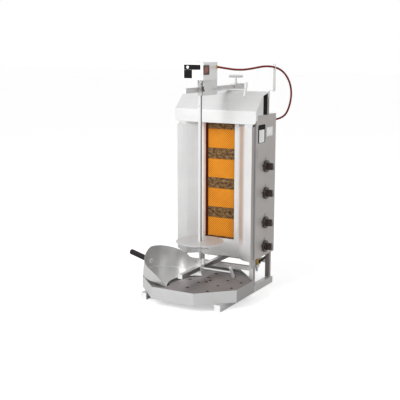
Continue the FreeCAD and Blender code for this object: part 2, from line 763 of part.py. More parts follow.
# The carriage of the drive slides along the upper arm and carries the motor above
def make_motor_carriage():
    hw = carriage_width / 2
    y0, y1 = carriage_front_y, carriage_front_y + carriage_length
    z0, z1 = carriage_bottom_z, motor_bottom_z
    body = box(-hw, hw, y0, y1, z0, z1)
    inner = box(-hw + carriage_wall, hw - carriage_wall, y0 + guide_length, y1 - guide_length,
                z0 + carriage_wall, z1 - carriage_wall)
    body = body.cut(inner)
    hole = arm_size / 2 + slide_clearance
    body = body.cut(box(-hole, hole, y0 - 1, y1 + 1, upper_arm_z - hole, upper_arm_z + hole))
    foot = box(-hw, hw, y0, motor_front_y + motor_length - sheet, z1 - 4, z1)
    body = body.fuse(foot)
    body = body.cut(rod(socket_diameter / 2 + 1, z1 - z0 + 2, (0, 0, z0 - 1), (0, 0, 1)))
    boss = rod(9, 4, (hw, carriage_screw_y, upper_arm_z), (1, 0, 0))
    hole = rod(screw_diameter / 2 + fit_gap, 12, (hw - 4, carriage_screw_y, upper_arm_z), (1, 0, 0))
    return body.fuse(boss).cut(hole).removeSplitter()


# A drive shaft with a fork that takes the top of the spit
def make_drive_coupling():
    r = shaft_diameter / 2
    shaft = rod(r, motor_bottom_z + 16 - rod_top_z, (0, 0, rod_top_z), (0, 0, 1))
    collar = rod(8.5, 3, (0, 0, upper_arm_z + arm_size / 2 + 2.5), (0, 0, 1))
    socket = rod(socket_diameter / 2, 14, (0, 0, rod_top_z - 12), (0, 0, 1))
    half = rod_size / 2
    socket = socket.cut(box(-half, half, -half, half, rod_top_z - 20, rod_top_z))
    notch = box(-3, 3, -12, 12, rod_top_z - 13, rod_top_z - 4)
    return fuse([shaft, collar, socket.cut(notch)])


# A small lever beside the shaft that releases the spit
def make_release_lever():
    pin = rod(3, 10, (release_x, release_y - 5, release_z), (0, 1, 0))
    end = V(release_x + 10, release_y, release_z - 38)
    start = V(release_x, release_y, release_z)
    way = end - start
    stem = Part.makeCylinder(2.2, way.Length, start, way)
    grip = Part.makeCylinder(5.5, 22, start + way * (14 / way.Length) + V(0, 0, 0), way)
    grip = grip.makeFillet(1.2, grip.Edges)
    return fuse([pin, stem, grip.translated(way * (8 / way.Length))])


# Two ears under the floor of the motor hold the pin of the lever
def make_lever_ears():
    ears = []
    for y in (release_y - 5.3 - 3, release_y + 5.3):
        ear = box(release_x - 5, release_x + 5, y, y + 3, release_z - 5, motor_bottom_z)
        ears.append(ear)
    tip = [rod(1.5, 3, (release_x, y, release_z), (0, 1, 0)) for y in (release_y - 8.3, release_y + 5.3)]
    return group(ears), tip


# The spit: a square rod with a small cross hole near its top
def make_spit_rod():
    half = rod_size / 2
    top = box(-half, half, -half, half, rod_bottom_z, rod_top_z)
    edges = [e for e in top.Edges if abs(e.tangentAt(0).z) > 0.9]
    top = top.makeChamfer(0.8, edges)
    neck = rod(tip_diameter / 2, rod_bottom_z - tip_top_z, (0, 0, tip_top_z), (0, 0, 1))
    taper = cone(2.0, tip_diameter / 2, tip_top_z - tip_point_z - 3, (0, 0, tip_point_z + 3), (0, 0, 1))
    point = cone(0.4, 2.0, 3, (0, 0, tip_point_z), (0, 0, 1))
    hole = rod(2.0, 30, (0, -15, rod_top_z - 58), (0, 1, 0))
    return fuse([top, neck, taper, point]).cut(hole)


def make_meat_plate():
    plate = rod(plate_diameter / 2, plate_thickness, (0, 0, plate_z), (0, 0, 1))
    edges = [e for e in plate.Edges if e.BoundBox.XLength > 10 and e.BoundBox.ZMin > plate_z + 1]
    plate = plate.makeFillet(1.2, edges)
    hub = rod(hub_diameter / 2, plate_z - rod_bottom_z - 0.3, (0, 0, rod_bottom_z + 0.3), (0, 0, 1))
    half = rod_size / 2 + rod_clearance
    return fuse([plate, hub]).cut(box(-half, half, -half, half, plate_z - 40, plate_z + 10))


# A flat bar under the plate; its right end is bent down as a hand stop
def make_plate_bar():
    z0, z1 = rod_bottom_z - 4, rod_bottom_z
    bar = box(-bar_length / 2, bar_length / 2, -6, 6, z0, z1)
    leg = box(bar_length / 2 - 4, bar_length / 2, -6, 6, z0 - 28, z1)
    ring = rod(11, 8, (0, 0, z1 - 8), (0, 0, 1))
    bar = fuse([bar, leg, ring]).cut(rod(tip_diameter / 2, 20, (0, 0, z0 - 8), (0, 0, 1)))
    bar.rotate(V(0, 0, 0), V(0, 0, 1), bar_turn)
    return bar


# Lower bearing: a sleeve on the lower arm with a cup for the point of the spit
def make_bearing_carriage():
    half = bearing_width / 2
    y = bearing_length / 2
    hole = arm_size / 2 + slide_clearance
    z = lower_arm_z
    body = box(-half, half, -y, y, z - half, z + half)
    body = body.cut(box(-hole, hole, -y - 1, y + 1, z - hole, z + hole))
    pad = box(-half, half, -y, y, z + half, bearing_pad_z)
    shelf = box(-half, 26, -y, y, bearing_pad_z - 3, bearing_pad_z)
    stop = box(half, 24, -7, 7, bearing_pad_z, bearing_pad_z + 22)
    edges = [e for e in stop.Edges if e.BoundBox.ZMin > bearing_pad_z + 10]
    stop = stop.makeFillet(3.0, edges)
    boss = rod(8, 4, (half, 0, z), (1, 0, 0))
    screw_hole = rod(screw_diameter / 2 + fit_gap, 12, (half - 4, 0, z), (1, 0, 0))
    return fuse([body, pad, shelf, stop, boss]).cut(screw_hole)


def make_bearing_cup():
    cup = rod(cup_diameter / 2, cup_top_z - bearing_pad_z, (0, 0, bearing_pad_z), (0, 0, 1))
    hollow = cone(1.2, 7.0, cup_top_z - tip_point_z + 0.3, (0, 0, tip_point_z - 0.3), (0, 0, 1))
    return cup.cut(hollow)


# A clamp handle: screw, stem and cross bar with rounded ends; the bar leans by an angle
def make_clamp(start, end_gap, stem_start, stem_end, direction, lean):
    d = V(*direction)
    s = V(*start)
    screw = Part.makeCylinder(screw_diameter / 2, stem_start - end_gap + 1, s + d * end_gap, d)
    stem = Part.makeCylinder(stem_diameter / 2, stem_end - stem_start, s + d * stem_start, d)
    across = V(0, 0, 1) if abs(d.x) > 0.5 else V(1, 0, 0)
    centre = s + d * stem_end
    bar = Part.makeCylinder(grip_diameter / 2, grip_length, centre - across * (grip_length / 2), across)
    ends = [e for e in bar.Edges if e.Closed]
    bar = bar.makeFillet(4.0, ends)
    bar.rotate(centre, d, lean)
    return fuse([screw, stem, bar])


# Drip tray: an eight-sided pan with a rim
def octagon(inset, z):
    w, y0, y1 = tray_half_width - inset, tray_front_y + inset, tray_rear_y - inset
    c = tray_corner - inset * 0.586
    return [(-w + c, y0, z), (w - c, y0, z), (w, y0 + c, z), (w, y1 - c, z), (w - c, y1, z),
            (-w + c, y1, z), (-w, y1 - c, z), (-w, y0 + c, z)]


def make_drip_pan():
    z0 = rail_height + tray_gap
    outer = prism(octagon(0, z0), (0, 0, tray_top_z - z0))
    inner = prism(octagon(tray_wall, z0 + tray_wall), (0, 0, tray_height))
    pan = outer.cut(inner)
    ledge_z = tray_top_z - tray_cover_drop - 3
    ledge = prism(octagon(tray_wall - 0.2, ledge_z), (0, 0, 1.5)).cut(prism(octagon(9, ledge_z - 1), (0, 0, 4)))
    return pan.fuse(ledge).removeSplitter()


# The cover lies on a ledge inside the pan; its middle is a little higher and it has holes
def make_drip_cover():
    base = tray_top_z - tray_cover_drop - 1.5 + 0.3
    inset = tray_wall + cover_gap
    w = tray_half_width - inset
    y0, y1 = tray_front_y - 2, tray_rear_y + 2
    roof = prism([(-w - 4, y0, base), (0, y0, base + cover_rise), (w + 4, y0, base),
                  (w + 4, y0, base + sheet), (0, y0, base + cover_rise + sheet), (-w - 4, y0, base + sheet)],
                 (0, y1 - y0, 0))
    cover = roof.common(prism(octagon(inset, base - 1), (0, 0, 20)))
    holes = []
    limit = tray_half_width + (tray_rear_y - tray_front_y) / 2 - tray_corner - 22
    mid_y = (tray_front_y + tray_rear_y) / 2
    for x in hole_columns:
        for y in hole_rows:
            if abs(x) + abs(y - mid_y) < limit:
                holes.append(rod(hole_diameter / 2, 40, (x, y, base - 10), (0, 0, 1)))
    for x, y in drain_holes:
        holes.append(rod(hole_diameter / 2, 40, (x, y, base - 10), (0, 0, 1)))
    return cover.cut(holes)


# Scoop: floor, wall that follows a half circle, and a handle behind; built flat, then laid in place
def lay_scoop(shape):
    shape.rotate(V(0, 0, 0), V(0, 1, 0), -scoop_tilt)
    shape.rotate(V(0, 0, 0), V(0, 0, 1), scoop_turn)
    shape.translate(V(scoop_x, scoop_y, scoop_front_z))
    return shape


def scoop_outline(inset, height):
    r = scoop_radius - inset
    wide = r
    a, b, c = V(0, -wide, 0), V(scoop_straight, -wide, 0), V(scoop_straight + r, 0, 0)
    d, e = V(scoop_straight, wide, 0), V(0, wide, 0)
    mouth = V(scoop_mouth_rise, 0, 0)
    edges = [Part.makeLine(a, b), Part.Arc(b, c, d).toShape(), Part.makeLine(d, e), Part.Arc(e, mouth, a).toShape()]
    return Part.Face(Part.Wire(edges)).extrude(V(0, 0, height))


# The wall is higher on the far side; its rim runs in one curve from the mouth to the back
def above_rim(points, v0, v1):
    curve = Part.BSplineCurve()
    curve.interpolate([V(u, v0, h) for u, h in points])
    first, last = V(points[0][0], v0, points[0][1]), V(points[-1][0], v0, points[-1][1])
    low, high = V(-30, v0, points[0][1]), V(-30, v0, 140)
    far, end = V(230, v0, 140), V(230, v0, points[-1][1])
    edges = [curve.toShape(), Part.makeLine(last, end), Part.makeLine(end, far), Part.makeLine(far, high),
             Part.makeLine(high, low), Part.makeLine(low, first)]
    return Part.Face(Part.Wire(edges)).extrude(V(0, v1 - v0, 0))


def make_scoop():
    t = scoop_sheet
    floor = scoop_outline(0, t)
    wall = scoop_outline(0, 113).cut(scoop_outline(t, 115))
    wide = scoop_radius + 10
    wall = wall.cut(above_rim(scoop_far_rim, -wide, 0))
    wall = wall.cut(above_rim(scoop_near_rim, 0, wide))
    back = scoop_straight + scoop_radius
    mouth_cut = box(-40, scoop_mouth_rise + 4, -scoop_radius + t + 0.01, scoop_radius - t - 0.01, t, 120)
    wall = wall.cut(mouth_cut)
    socket = rod(9, 12, (back - 0.6, 0, 35), (1, 0, 0.056))
    bolt = rod(6.5, 3.5, (back - t - 3.5, 0, 35), (1, 0, 0))
    heel = box(138, 150, -40, 40, -scoop_heel, t)
    heel = heel.cut(box(130, 160, -30, 30, -40, -3))
    tilt = math.tan(math.radians(scoop_tilt))
    drop = 2.6
    under = prism([(100, -60, -100 * tilt - drop), (200, -60, -200 * tilt - drop), (200, -60, -90), (100, -60, -90)],
                  (0, 120, 0))
    return lay_scoop(fuse([floor, wall, socket, bolt, heel.cut(under)]))


def make_scoop_handle():
    back = scoop_straight + scoop_radius + 11.4
    r = scoop_handle_diameter / 2
    grip = rod(r, scoop_handle_length, (back, 0, 35.6), (1, 0, 0.056))
    grip = grip.makeFillet(5.0, [e for e in grip.Edges if e.Closed])
    return lay_scoop(grip)


# Cord, its two glands and the hook that carries it
def make_gland(base, direction, diameter, length, width):
    body = rod(width / 2 - 2, length * 0.8, base, direction)
    nut = rod(width / 2, length * 0.3, base, direction)
    d = V(*direction)
    tail = Part.makeCylinder(diameter / 2 - 1.2, 6, V(*base) - d * 5, d)
    bore = Part.makeCylinder(cord_diameter / 2, 40, V(*base) - d * 6, d)
    return fuse([body, nut, tail]).cut(bore)


def make_cord():
    points = [V(*p) for p in cord_points]
    edges, radii, at = [], [], points[0]
    for before, corner, after in zip(points, points[1:], points[2:]):
        come, go = (corner - before).normalize(), (after - corner).normalize()
        turn = come.getAngle(go)
        reach = 0.45 * min((corner - before).Length, (after - corner).Length)
        radii.append(reach / math.tan(turn / 2))
        start, end = corner - come * reach, corner + go * reach
        middle = corner - (come - go).normalize() * radii[-1] * (1 / math.cos(turn / 2) - 1)
        edges.append(Part.LineSegment(at, start).toShape())
        edges.append(Part.Arc(start, middle, end).toShape())
        at = end
    edges.append(Part.LineSegment(at, points[-1]).toShape())
    path = Part.Wire(edges)
    circle = Part.Wire([Part.makeCircle(cord_diameter / 2, points[0], points[1] - points[0])])
    pipe = path.makePipeShell([circle], True, False)
    section = math.pi * cord_diameter ** 2 / 4
    print("radii of the cord in diameters", [round(r / cord_diameter, 1) for r in radii])
    print("volume over section times length", round(pipe.Volume / (section * path.Length), 4))
    print("length of the cord outside its glands", round(path.Length))
    end = points[-1]
    front = rod(cord_diameter / 2, 21, (motor_half_width - 3, motor_gland_y, motor_gland_z), (1, 0, 0))
    rear = rod(cord_diameter / 2, end.y - housing_rear_y + 4, (end.x, housing_rear_y - 4, end.z), (0, 1, 0))
    face = points[0].x
    beyond = box(face, face + 20, motor_gland_y - 50, motor_gland_y + 50, motor_gland_z - 20, motor_gland_z + 20)
    return fuse([pipe, front.cut(beyond), rear])


# The upright end of the hook is twisted to face the cord, which lies in its notch
def make_cord_hook():
    x0 = mast_x + post_size / 2
    z0 = hood_rear_z - 26
    shelf_z = hood_rear_z + 3
    t = hook_sheet
    h = hook_width / 2
    before, here, after = cord_points[5:8]
    turn = math.degrees(math.atan2(after[1] - before[1], after[0] - before[0]))
    pad = box(x0, x0 + 1.3, mast_y - h, mast_y + h, z0, z0 + 20)
    x0 = x0 + 1.3
    lower = box(x0, x0 + t, mast_y - h, mast_y + h, z0, shelf_z + t)
    across = box(x0, hook_x + t / 2, mast_y - h, mast_y + h, shelf_z, shelf_z + t)
    upright = box(here[0] - t / 2, here[0] + t / 2, here[1] - h - 1, here[1] + h + 1, shelf_z, here[2] + 14)
    r = cord_diameter / 2 + 0.9
    notch = rod(r, 12, (here[0] - 6, here[1], here[2] - 2.0), (1, 0, 0))
    mouth = box(here[0] - 6, here[0] + 6, here[1] - r + 0.8, here[1] + r - 0.8, here[2] - 2, here[2] + 30)
    upright = upright.cut([notch, mouth])
    upright.rotate(V(*here), V(0, 0, 1), turn)
    return fuse([pad, lower, across, upright])


def dome(radius, base, direction):
    d = V(*direction)
    height = radius * 0.5
    big = (radius * radius + height * height) / (2 * height)
    ball = Part.makeSphere(big, V(*base) - d * (big - height))
    keep = Part.makeCylinder(radius, height + 1, V(*base), d)
    return ball.common(keep)


def make_screws():
    front, rear, side = motor_front_y + 12, motor_rear_y - 12, motor_half_width - 12
    places = [(-side, front), (0, front), (side, front), (-side, rear), (side, rear)]
    return group([dome(4.0, (x, y, motor_top_z), (0, 0, 1)) for x, y in places])


def make_panel_screws():
    heads = []
    height = housing_top_z - housing_bottom_z
    for z in [housing_bottom_z + share * height for share in (0.021, 0.291, 0.575, 0.84, 0.979)]:
        for side in (-1, 1):
            heads.append(dome(3.2, (side * housing_half_width, housing_rear_y - 7, z), (side, 0, 0)))
    for z in [housing_bottom_z + share * height for share in (0.02, 0.288, 0.564, 0.979)]:
        for side in (-1, 1):
            heads.append(dome(3.2, (side * (housing_half_width - 11), housing_rear_y + sheet, z), (0, 1, 0)))
    for z in burner_z:
        middle = z + plaque_height + 20
        for x in (-44, 44):
            heads.append(dome(4.0, (x, plaque_y, middle), (0, -1, 0)))
    for z in [wing_flange_bottom_z + share * (wing_top_z - wing_flange_bottom_z) for share in (0.135, 0.523, 0.911)]:
        for side in (-1, 1):
            heads.append(dome(3.2, (side * (wing_outer_x + sheet / 2), front_post_y, z), (side, 0, 0)))
    return group(heads)


os.makedirs("parts", exist_ok=True)

save("base_rail_left", make_rail(-1))
save("base_rail_right", make_rail(1))
save("front_posts", make_posts(front_post_y, post_top_z))
save("rear_uprights", make_posts(rear_post_y, housing_top_z - sheet))
save("cross_tubes", group([make_cross_tube(front_post_y), make_cross_tube(rear_post_y)]))
save("rear_column", make_column())
save("lower_arm", make_arm(lower_arm_front_y, rear_post_y - post_size / 2, lower_arm_z,
                           lower_slot_front_y, lower_slot_rear_y))
save("upper_arm", make_upper_arm())
save("end_caps", group(make_rail_caps().Solids + make_arm_caps().Solids))
save("arm_sleeve", make_arm_sleeve())
save("housing_shell", make_housing_shell())
save("control_panel", make_control_panel())
save("rear_cover", make_rear_cover())
save("front_apron", make_apron())
save("wing_left", make_wing(-1))
save("wing_right", make_wing(1))
save("hood", make_hood())
save("hood_masts", group(make_masts().Solids + [make_top_cross_tube()]))
save("burner_frame", make_burner_frame())
save("ceramic_plaques", make_plaques())
save("burner_bodies", make_burner_bodies())
save("gas_manifold", make_manifold())
save("gas_taps", make_taps())
save("burner_pipes", make_burner_pipes())
save("gas_cock", make_gas_cock())
save("cock_lever", make_cock_lever())
for number, height in enumerate(knob_heights):
    save("tap_plug_" + str(number + 1), make_plug(height))
    save("knob_" + str(number + 1), make_knob(height))
save("motor_cover", make_motor_cover())
ears, pins = make_lever_ears()
save("motor_base", fuse([make_motor_base()] + ears.Solids))
save("gear_motor", make_gear_motor())
save("switch_frame", make_switch_frame())
save("rocker", make_rocker())
save("motor_carriage", make_motor_carriage())
save("motor_gland", make_gland((motor_half_width, motor_gland_y, motor_gland_z), (1, 0, 0), gland_thread,
                               motor_gland_length, motor_gland_width))
save("housing_gland", make_gland((housing_gland_x, housing_rear_y + sheet, housing_gland_z), (0, 1, 0), gland_thread,
                                 gland_length, gland_width))
save("spit_rod", make_spit_rod())
save("drive_coupling", make_drive_coupling())
save("release_lever", make_release_lever())
save("meat_plate", make_meat_plate())
save("plate_bar", make_plate_bar())
save("bearing_carriage", make_bearing_carriage())
save("bearing_cup", make_bearing_cup())
save("arm_clamp", make_clamp((0, arm_screw_y, upper_arm_z), arm_size / 2 + 0.3, sleeve_outer / 2 + 5.3,
                             sleeve_outer / 2 + 5 + arm_stem, (0, 0, 1), 29))
save("carriage_clamp", make_clamp((0, carriage_screw_y, upper_arm_z), arm_size / 2 + 0.3, carriage_width / 2 + 4.3,
                                  carriage_width / 2 + carriage_stem, (1, 0, 0), -19.4))
save("bearing_clamp", make_clamp((0, 0, lower_arm_z), arm_size / 2 + 0.3, bearing_width / 2 + 4.3,
                                 bearing_width / 2 + bearing_stem, (1, 0, 0), 32.6))
save("drip_pan", make_drip_pan())
save("drip_cover", make_drip_cover())
save("meat_scoop", make_scoop())
save("scoop_handle", make_scoop_handle())
save("power_cord", make_cord())
save("cord_hook", make_cord_hook())
save("lid_screws", make_screws())
save("panel_screws", make_panel_screws())
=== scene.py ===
import json
import math

import bmesh
import bpy
from mathutils import Matrix, Vector


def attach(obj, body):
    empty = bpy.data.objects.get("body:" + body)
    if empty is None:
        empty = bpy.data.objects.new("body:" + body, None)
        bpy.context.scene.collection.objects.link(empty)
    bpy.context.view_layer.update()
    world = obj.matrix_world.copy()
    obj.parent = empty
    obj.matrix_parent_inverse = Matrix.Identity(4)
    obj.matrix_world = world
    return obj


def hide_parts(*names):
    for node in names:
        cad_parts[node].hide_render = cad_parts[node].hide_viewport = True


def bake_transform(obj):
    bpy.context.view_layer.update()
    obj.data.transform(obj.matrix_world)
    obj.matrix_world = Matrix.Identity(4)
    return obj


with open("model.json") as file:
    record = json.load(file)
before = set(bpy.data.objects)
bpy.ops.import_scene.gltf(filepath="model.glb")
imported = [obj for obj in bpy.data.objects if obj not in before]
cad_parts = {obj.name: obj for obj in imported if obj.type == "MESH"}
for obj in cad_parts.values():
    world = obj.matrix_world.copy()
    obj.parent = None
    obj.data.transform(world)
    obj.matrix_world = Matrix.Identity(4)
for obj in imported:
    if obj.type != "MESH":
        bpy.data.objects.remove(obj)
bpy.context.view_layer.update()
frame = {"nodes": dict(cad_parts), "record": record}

# All places below are millimetres from the axis of the spit, as in the part's source
MM = 0.001
SPIT_X, SPIT_Y = 59.6, -82.0


def at(x, y, z):
    return Vector(((x + SPIT_X) * MM, (y + SPIT_Y) * MM, z * MM))


# Sizes shared with the part
panel_x = 197.0
apron_y = 179.0
plaque_y = 198.5
housing_middle_y = 258.5
knob_y = 259.5
knob_heights = (197.3, 309.3, 446.8, 570.3)
knob_end_x = 236.5
motor_front_y = -65.0
tray_floor_z = 31.0
tray_cover_z = 74.0
gas_tail_top_z = 116.0
cord_diameter = 9.0

# Where the scoop lies, and its form before it is laid down
scoop_place = (-28.0, -84.0, 79.5)
scoop_turn, scoop_tilt = 169.0, -7.0
scoop_straight = 94.0
scoop_bead_radius = 116.8
scoop_bolt_height = 35.0
scoop_wall_u = 211.6

# Sizes of looks: rows of holes, where the painted reflection of the burners ends, and the angle (radians)
# from which edges stay sharp
ceramic_pitch = 7.5
painted_reflection_low_z = 229.0
glow_fade = 22.0
sharp_angle = 0.7


# Small helpers for node trees
def new_material(name):
    material = bpy.data.materials.new(name)
    material.use_nodes = True
    tree = material.node_tree
    shader = tree.nodes["Principled BSDF"]
    return material, tree, shader


def place_pattern(tree, scale=(1, 1, 1), turn=(0, 0, 0)):
    where = tree.nodes.new("ShaderNodeTexCoord")
    mapping = tree.nodes.new("ShaderNodeMapping")
    mapping.inputs["Scale"].default_value = scale
    mapping.inputs["Rotation"].default_value = [math.radians(a) for a in turn]
    tree.links.new(where.outputs["Object"], mapping.inputs["Vector"])
    return mapping.outputs["Vector"]


def noise(tree, vector, scale, detail=3.0, rough=0.55):
    made = tree.nodes.new("ShaderNodeTexNoise")
    made.inputs["Scale"].default_value = scale
    made.inputs["Detail"].default_value = detail
    made.inputs["Roughness"].default_value = rough
    tree.links.new(vector, made.inputs["Vector"])
    return made.outputs["Fac"]


def ramp(tree, fac, stops):
    made = tree.nodes.new("ShaderNodeValToRGB")
    elements = made.color_ramp.elements
    while len(elements) < len(stops):
        elements.new(0.5)
    for element, (position, colour) in zip(elements, stops):
        element.position = position
        element.color = (*colour, 1)
    tree.links.new(fac, made.inputs["Fac"])
    return made.outputs["Color"]


def span(tree, fac, low, high):
    made = tree.nodes.new("ShaderNodeMapRange")
    made.inputs["To Min"].default_value = low
    made.inputs["To Max"].default_value = high
    tree.links.new(fac, made.inputs["Value"])
    return made.outputs["Result"]


def mix(tree, fac, first, second, way="MIX"):
    made = tree.nodes.new("ShaderNodeMix")
    made.data_type = "RGBA"
    made.blend_type = way
    factor, colour_a, colour_b = made.inputs[0], made.inputs[6], made.inputs[7]
    for socket, value in ((factor, fac), (colour_a, first), (colour_b, second)):
        if isinstance(value, bpy.types.NodeSocket):
            tree.links.new(value, socket)
        elif isinstance(value, tuple):
            socket.default_value = (*value, 1)
        else:
            socket.default_value = value
    return made.outputs[2]


def bump(tree, shader, height, strength, distance):
    made = tree.nodes.new("ShaderNodeBump")
    made.inputs["Strength"].default_value = strength
    made.inputs["Distance"].default_value = distance
    tree.links.new(height, made.inputs["Height"])
    tree.links.new(made.outputs["Normal"], shader.inputs["Normal"])


def tone(colour, factor):
    return tuple(min(1.0, c * factor) for c in colour)


# Stainless sheet: fine brushing along one axis, faint smears, soft uneven gloss
def brushed_steel(name, colour, along="x", rough=0.34, metal=0.75, smear=0.06):
    material, tree, shader = new_material(name)
    fine = {"x": (6, 900, 900), "y": (900, 6, 900), "z": (900, 900, 6)}[along]
    grain = noise(tree, place_pattern(tree, fine), 1.0, 2.0)
    cloud = noise(tree, place_pattern(tree), 7.0, 4.0)
    base = ramp(tree, grain, [(0.3, tone(colour, 0.95)), (0.7, tone(colour, 1.04))])
    smears = ramp(tree, cloud, [(0.35, (1 - smear,) * 3), (0.65, (1.0, 1.0, 1.0))])
    tree.links.new(mix(tree, 1.0, base, smears, "MULTIPLY"), shader.inputs["Base Color"])
    tree.links.new(span(tree, cloud, rough - 0.06, rough + 0.1), shader.inputs["Roughness"])
    shader.inputs["Metallic"].default_value = metal
    bump(tree, shader, grain, 0.12, 0.0002)
    return material


# A tint that changes between two places along an axis, faded out below one height
def add_tint(material, axis, start, end, stops, low_z=-1000.0):
    tree = material.node_tree
    shader = tree.nodes["Principled BSDF"]
    before = shader.inputs["Base Color"].links[0].from_socket
    split = tree.nodes.new("ShaderNodeSeparateXYZ")
    tree.links.new(place_pattern(tree), split.inputs[0])

    def reach(name, low, high):
        made = tree.nodes.new("ShaderNodeMapRange")
        made.inputs["From Min"].default_value = low
        made.inputs["From Max"].default_value = high
        tree.links.new(split.outputs[name], made.inputs["Value"])
        return made.outputs["Result"]

    offset = {"X": SPIT_X, "Y": SPIT_Y, "Z": 0.0}[axis]
    tint = ramp(tree, reach(axis, (start + offset) * MM, (end + offset) * MM), stops)
    above = reach("Z", (low_z - glow_fade) * MM, (low_z + glow_fade) * MM)
    tinted = mix(tree, 1.0, before, tint, "MULTIPLY")
    tree.links.new(mix(tree, above, before, tinted), shader.inputs["Base Color"])
    return material


# Moulded plastic with a faint grain
def moulded_plastic(name, colour, rough, coat=0.0, grain_size=1500.0, depth=0.1, shine=0.5):
    material, tree, shader = new_material(name)
    vector = place_pattern(tree)
    grain = noise(tree, vector, grain_size, 2.0)
    cloud = noise(tree, vector, 30.0, 3.0)
    tree.links.new(ramp(tree, cloud, [(0.35, tone(colour, 0.9)), (0.65, tone(colour, 1.08))]),
                   shader.inputs["Base Color"])
    tree.links.new(span(tree, cloud, rough - 0.05, rough + 0.08), shader.inputs["Roughness"])
    shader.inputs["Specular IOR Level"].default_value = shine
    shader.inputs["Coat Weight"].default_value = coat
    shader.inputs["Coat Roughness"].default_value = 0.12
    bump(tree, shader, grain, depth, 0.0002)
    return material


# Burner plaques: rows of fine holes set on the slant, warm glaze that is paler in places
def perforated_ceramic(name):
    material, tree, shader = new_material(name)
    pitch = ceramic_pitch * MM
    grid = place_pattern(tree, (1 / pitch, 0.0, 1 / pitch), (0, 45, 0))
    cells = tree.nodes.new("ShaderNodeTexVoronoi")
    cells.inputs["Scale"].default_value = 1.0
    cells.inputs["Randomness"].default_value = 0.0
    tree.links.new(grid, cells.inputs["Vector"])
    holes = ramp(tree, cells.outputs["Distance"], [(0.28, (0.0, 0.0, 0.0)), (0.42, (1.0, 1.0, 1.0))])
    cloud = noise(tree, place_pattern(tree), 14.0, 4.0)
    glaze = ramp(tree, cloud, [(0.3, (0.52, 0.115, 0.004)), (0.5, (0.62, 0.155, 0.006)),
                               (0.7, (0.68, 0.20, 0.009))])
    tree.links.new(mix(tree, holes, (0.86, 0.40, 0.04), glaze), shader.inputs["Base Color"])
    shader.inputs["Roughness"].default_value = 0.8
    shader.inputs["Specular IOR Level"].default_value = 0.15
    bump(tree, shader, holes, 0.5, 0.0008)
    return material


# Metal that the flames have stained brown and blue-grey
def heated_metal(name):
    material, tree, shader = new_material(name)
    cloud = noise(tree, place_pattern(tree, (1, 1, 1.6)), 60.0, 8.0, 0.7)
    stain = ramp(tree, cloud, [(0.36, (0.016, 0.006, 0.002)), (0.5, (0.14, 0.068, 0.019)),
                               (0.64, (0.30, 0.20, 0.095))])
    tree.links.new(stain, shader.inputs["Base Color"])
    tree.links.new(span(tree, cloud, 0.35, 0.6), shader.inputs["Roughness"])
    shader.inputs["Metallic"].default_value = 0.6
    bump(tree, shader, cloud, 0.1, 0.0005)
    return material


# Cast brass, darker in patches
def cast_brass(name):
    material, tree, shader = new_material(name)
    cloud = noise(tree, place_pattern(tree), 90.0, 4.0)
    colour = ramp(tree, cloud, [(0.3, (0.50, 0.36, 0.14)), (0.7, (0.80, 0.62, 0.30))])
    tree.links.new(colour, shader.inputs["Base Color"])
    tree.links.new(span(tree, cloud, 0.25, 0.5), shader.inputs["Roughness"])
    shader.inputs["Metallic"].default_value = 0.9
    bump(tree, shader, cloud, 0.15, 0.0004)
    return material


# Materials; one kind of sheet has several greys, as its faces look under the light of the photo
hood_steel = brushed_steel("hood steel", (0.75, 0.755, 0.75), "x", 0.38, 0.4, 0.04)
apron_steel = brushed_steel("apron steel", (0.77, 0.765, 0.755), "x", 0.36, 0.45, 0.04)
wing_steel = brushed_steel("wing steel", (0.75, 0.75, 0.75), "z", 0.34, 0.45, 0.05)
# Painted light: the right wing is a paler copy of the wing steel
lit_right_wing_steel = brushed_steel("lit right wing steel", (0.88, 0.87, 0.865), "z", 0.34, 0.45, 0.05)
# Painted shade: the control panel, which faces away from the key lamp, is darker and browner
shaded_panel_steel = brushed_steel("shaded panel steel", (0.50, 0.47, 0.45), "y", 0.42, 0.35, 0.05)
tube_steel = brushed_steel("tube steel", (0.60, 0.59, 0.585), "y", 0.36, 0.6)
# Painted shade: the posts and masts are much darker and browner than the other tubes
shaded_post_steel = brushed_steel("shaded post steel", (0.31, 0.28, 0.265), "z", 0.36, 0.6)
motor_steel = brushed_steel("motor box steel", (0.82, 0.82, 0.81), "x", 0.36, 0.4, 0.04)
carriage_steel = brushed_steel("carriage steel", (0.74, 0.74, 0.725), "y", 0.38, 0.4)
tray_steel = brushed_steel("tray steel", (0.61, 0.61, 0.61), "x", 0.38, 0.5, 0.08)
# Painted shade for the left and right facets of the tray
shaded_tray_steel = brushed_steel("shaded tray steel", (0.38, 0.365, 0.36), "y", 0.42, 0.4, 0.08)
# Painted shade for the faces of the right wing that point right
shaded_flange_steel = brushed_steel("shaded flange steel", (0.43, 0.42, 0.42), "z", 0.42, 0.4, 0.05)
# Painted light: a pale copy for the front faces of the posts and cross tubes, the faces the lamp lights
lit_post_front_steel = brushed_steel("lit post front steel", (0.80, 0.78, 0.77), "z", 0.36, 0.4)
# Painted shade: the tray cover is darkened
shaded_cover_steel = brushed_steel("shaded tray cover steel", (0.265, 0.24, 0.235), "y", 0.40, 0.5, 0.1)
spit_steel = brushed_steel("spit steel", (0.72, 0.72, 0.72), "z", 0.38, 0.35, 0.05)
plate_steel = brushed_steel("meat plate steel", (0.62, 0.62, 0.62), "x", 0.42, 0.4, 0.08)
scoop_steel = brushed_steel("scoop steel", (0.66, 0.66, 0.655), "z", 0.28, 0.8, 0.08)
screw_steel = brushed_steel("screw steel", (0.60, 0.60, 0.60), "x", 0.3, 0.7)
weld_steel = brushed_steel("weld steel", (0.85, 0.85, 0.83), "x", 0.3, 0.5, 0.15)
clamp_grey = brushed_steel("clamp handle grey", (0.66, 0.66, 0.655), "x", 0.42, 0.3, 0.04)
# Painted shade for the faces of the lower arm that point right
shaded_tube_steel = brushed_steel("shaded tube steel", (0.24, 0.23, 0.225), "y", 0.4, 0.5)
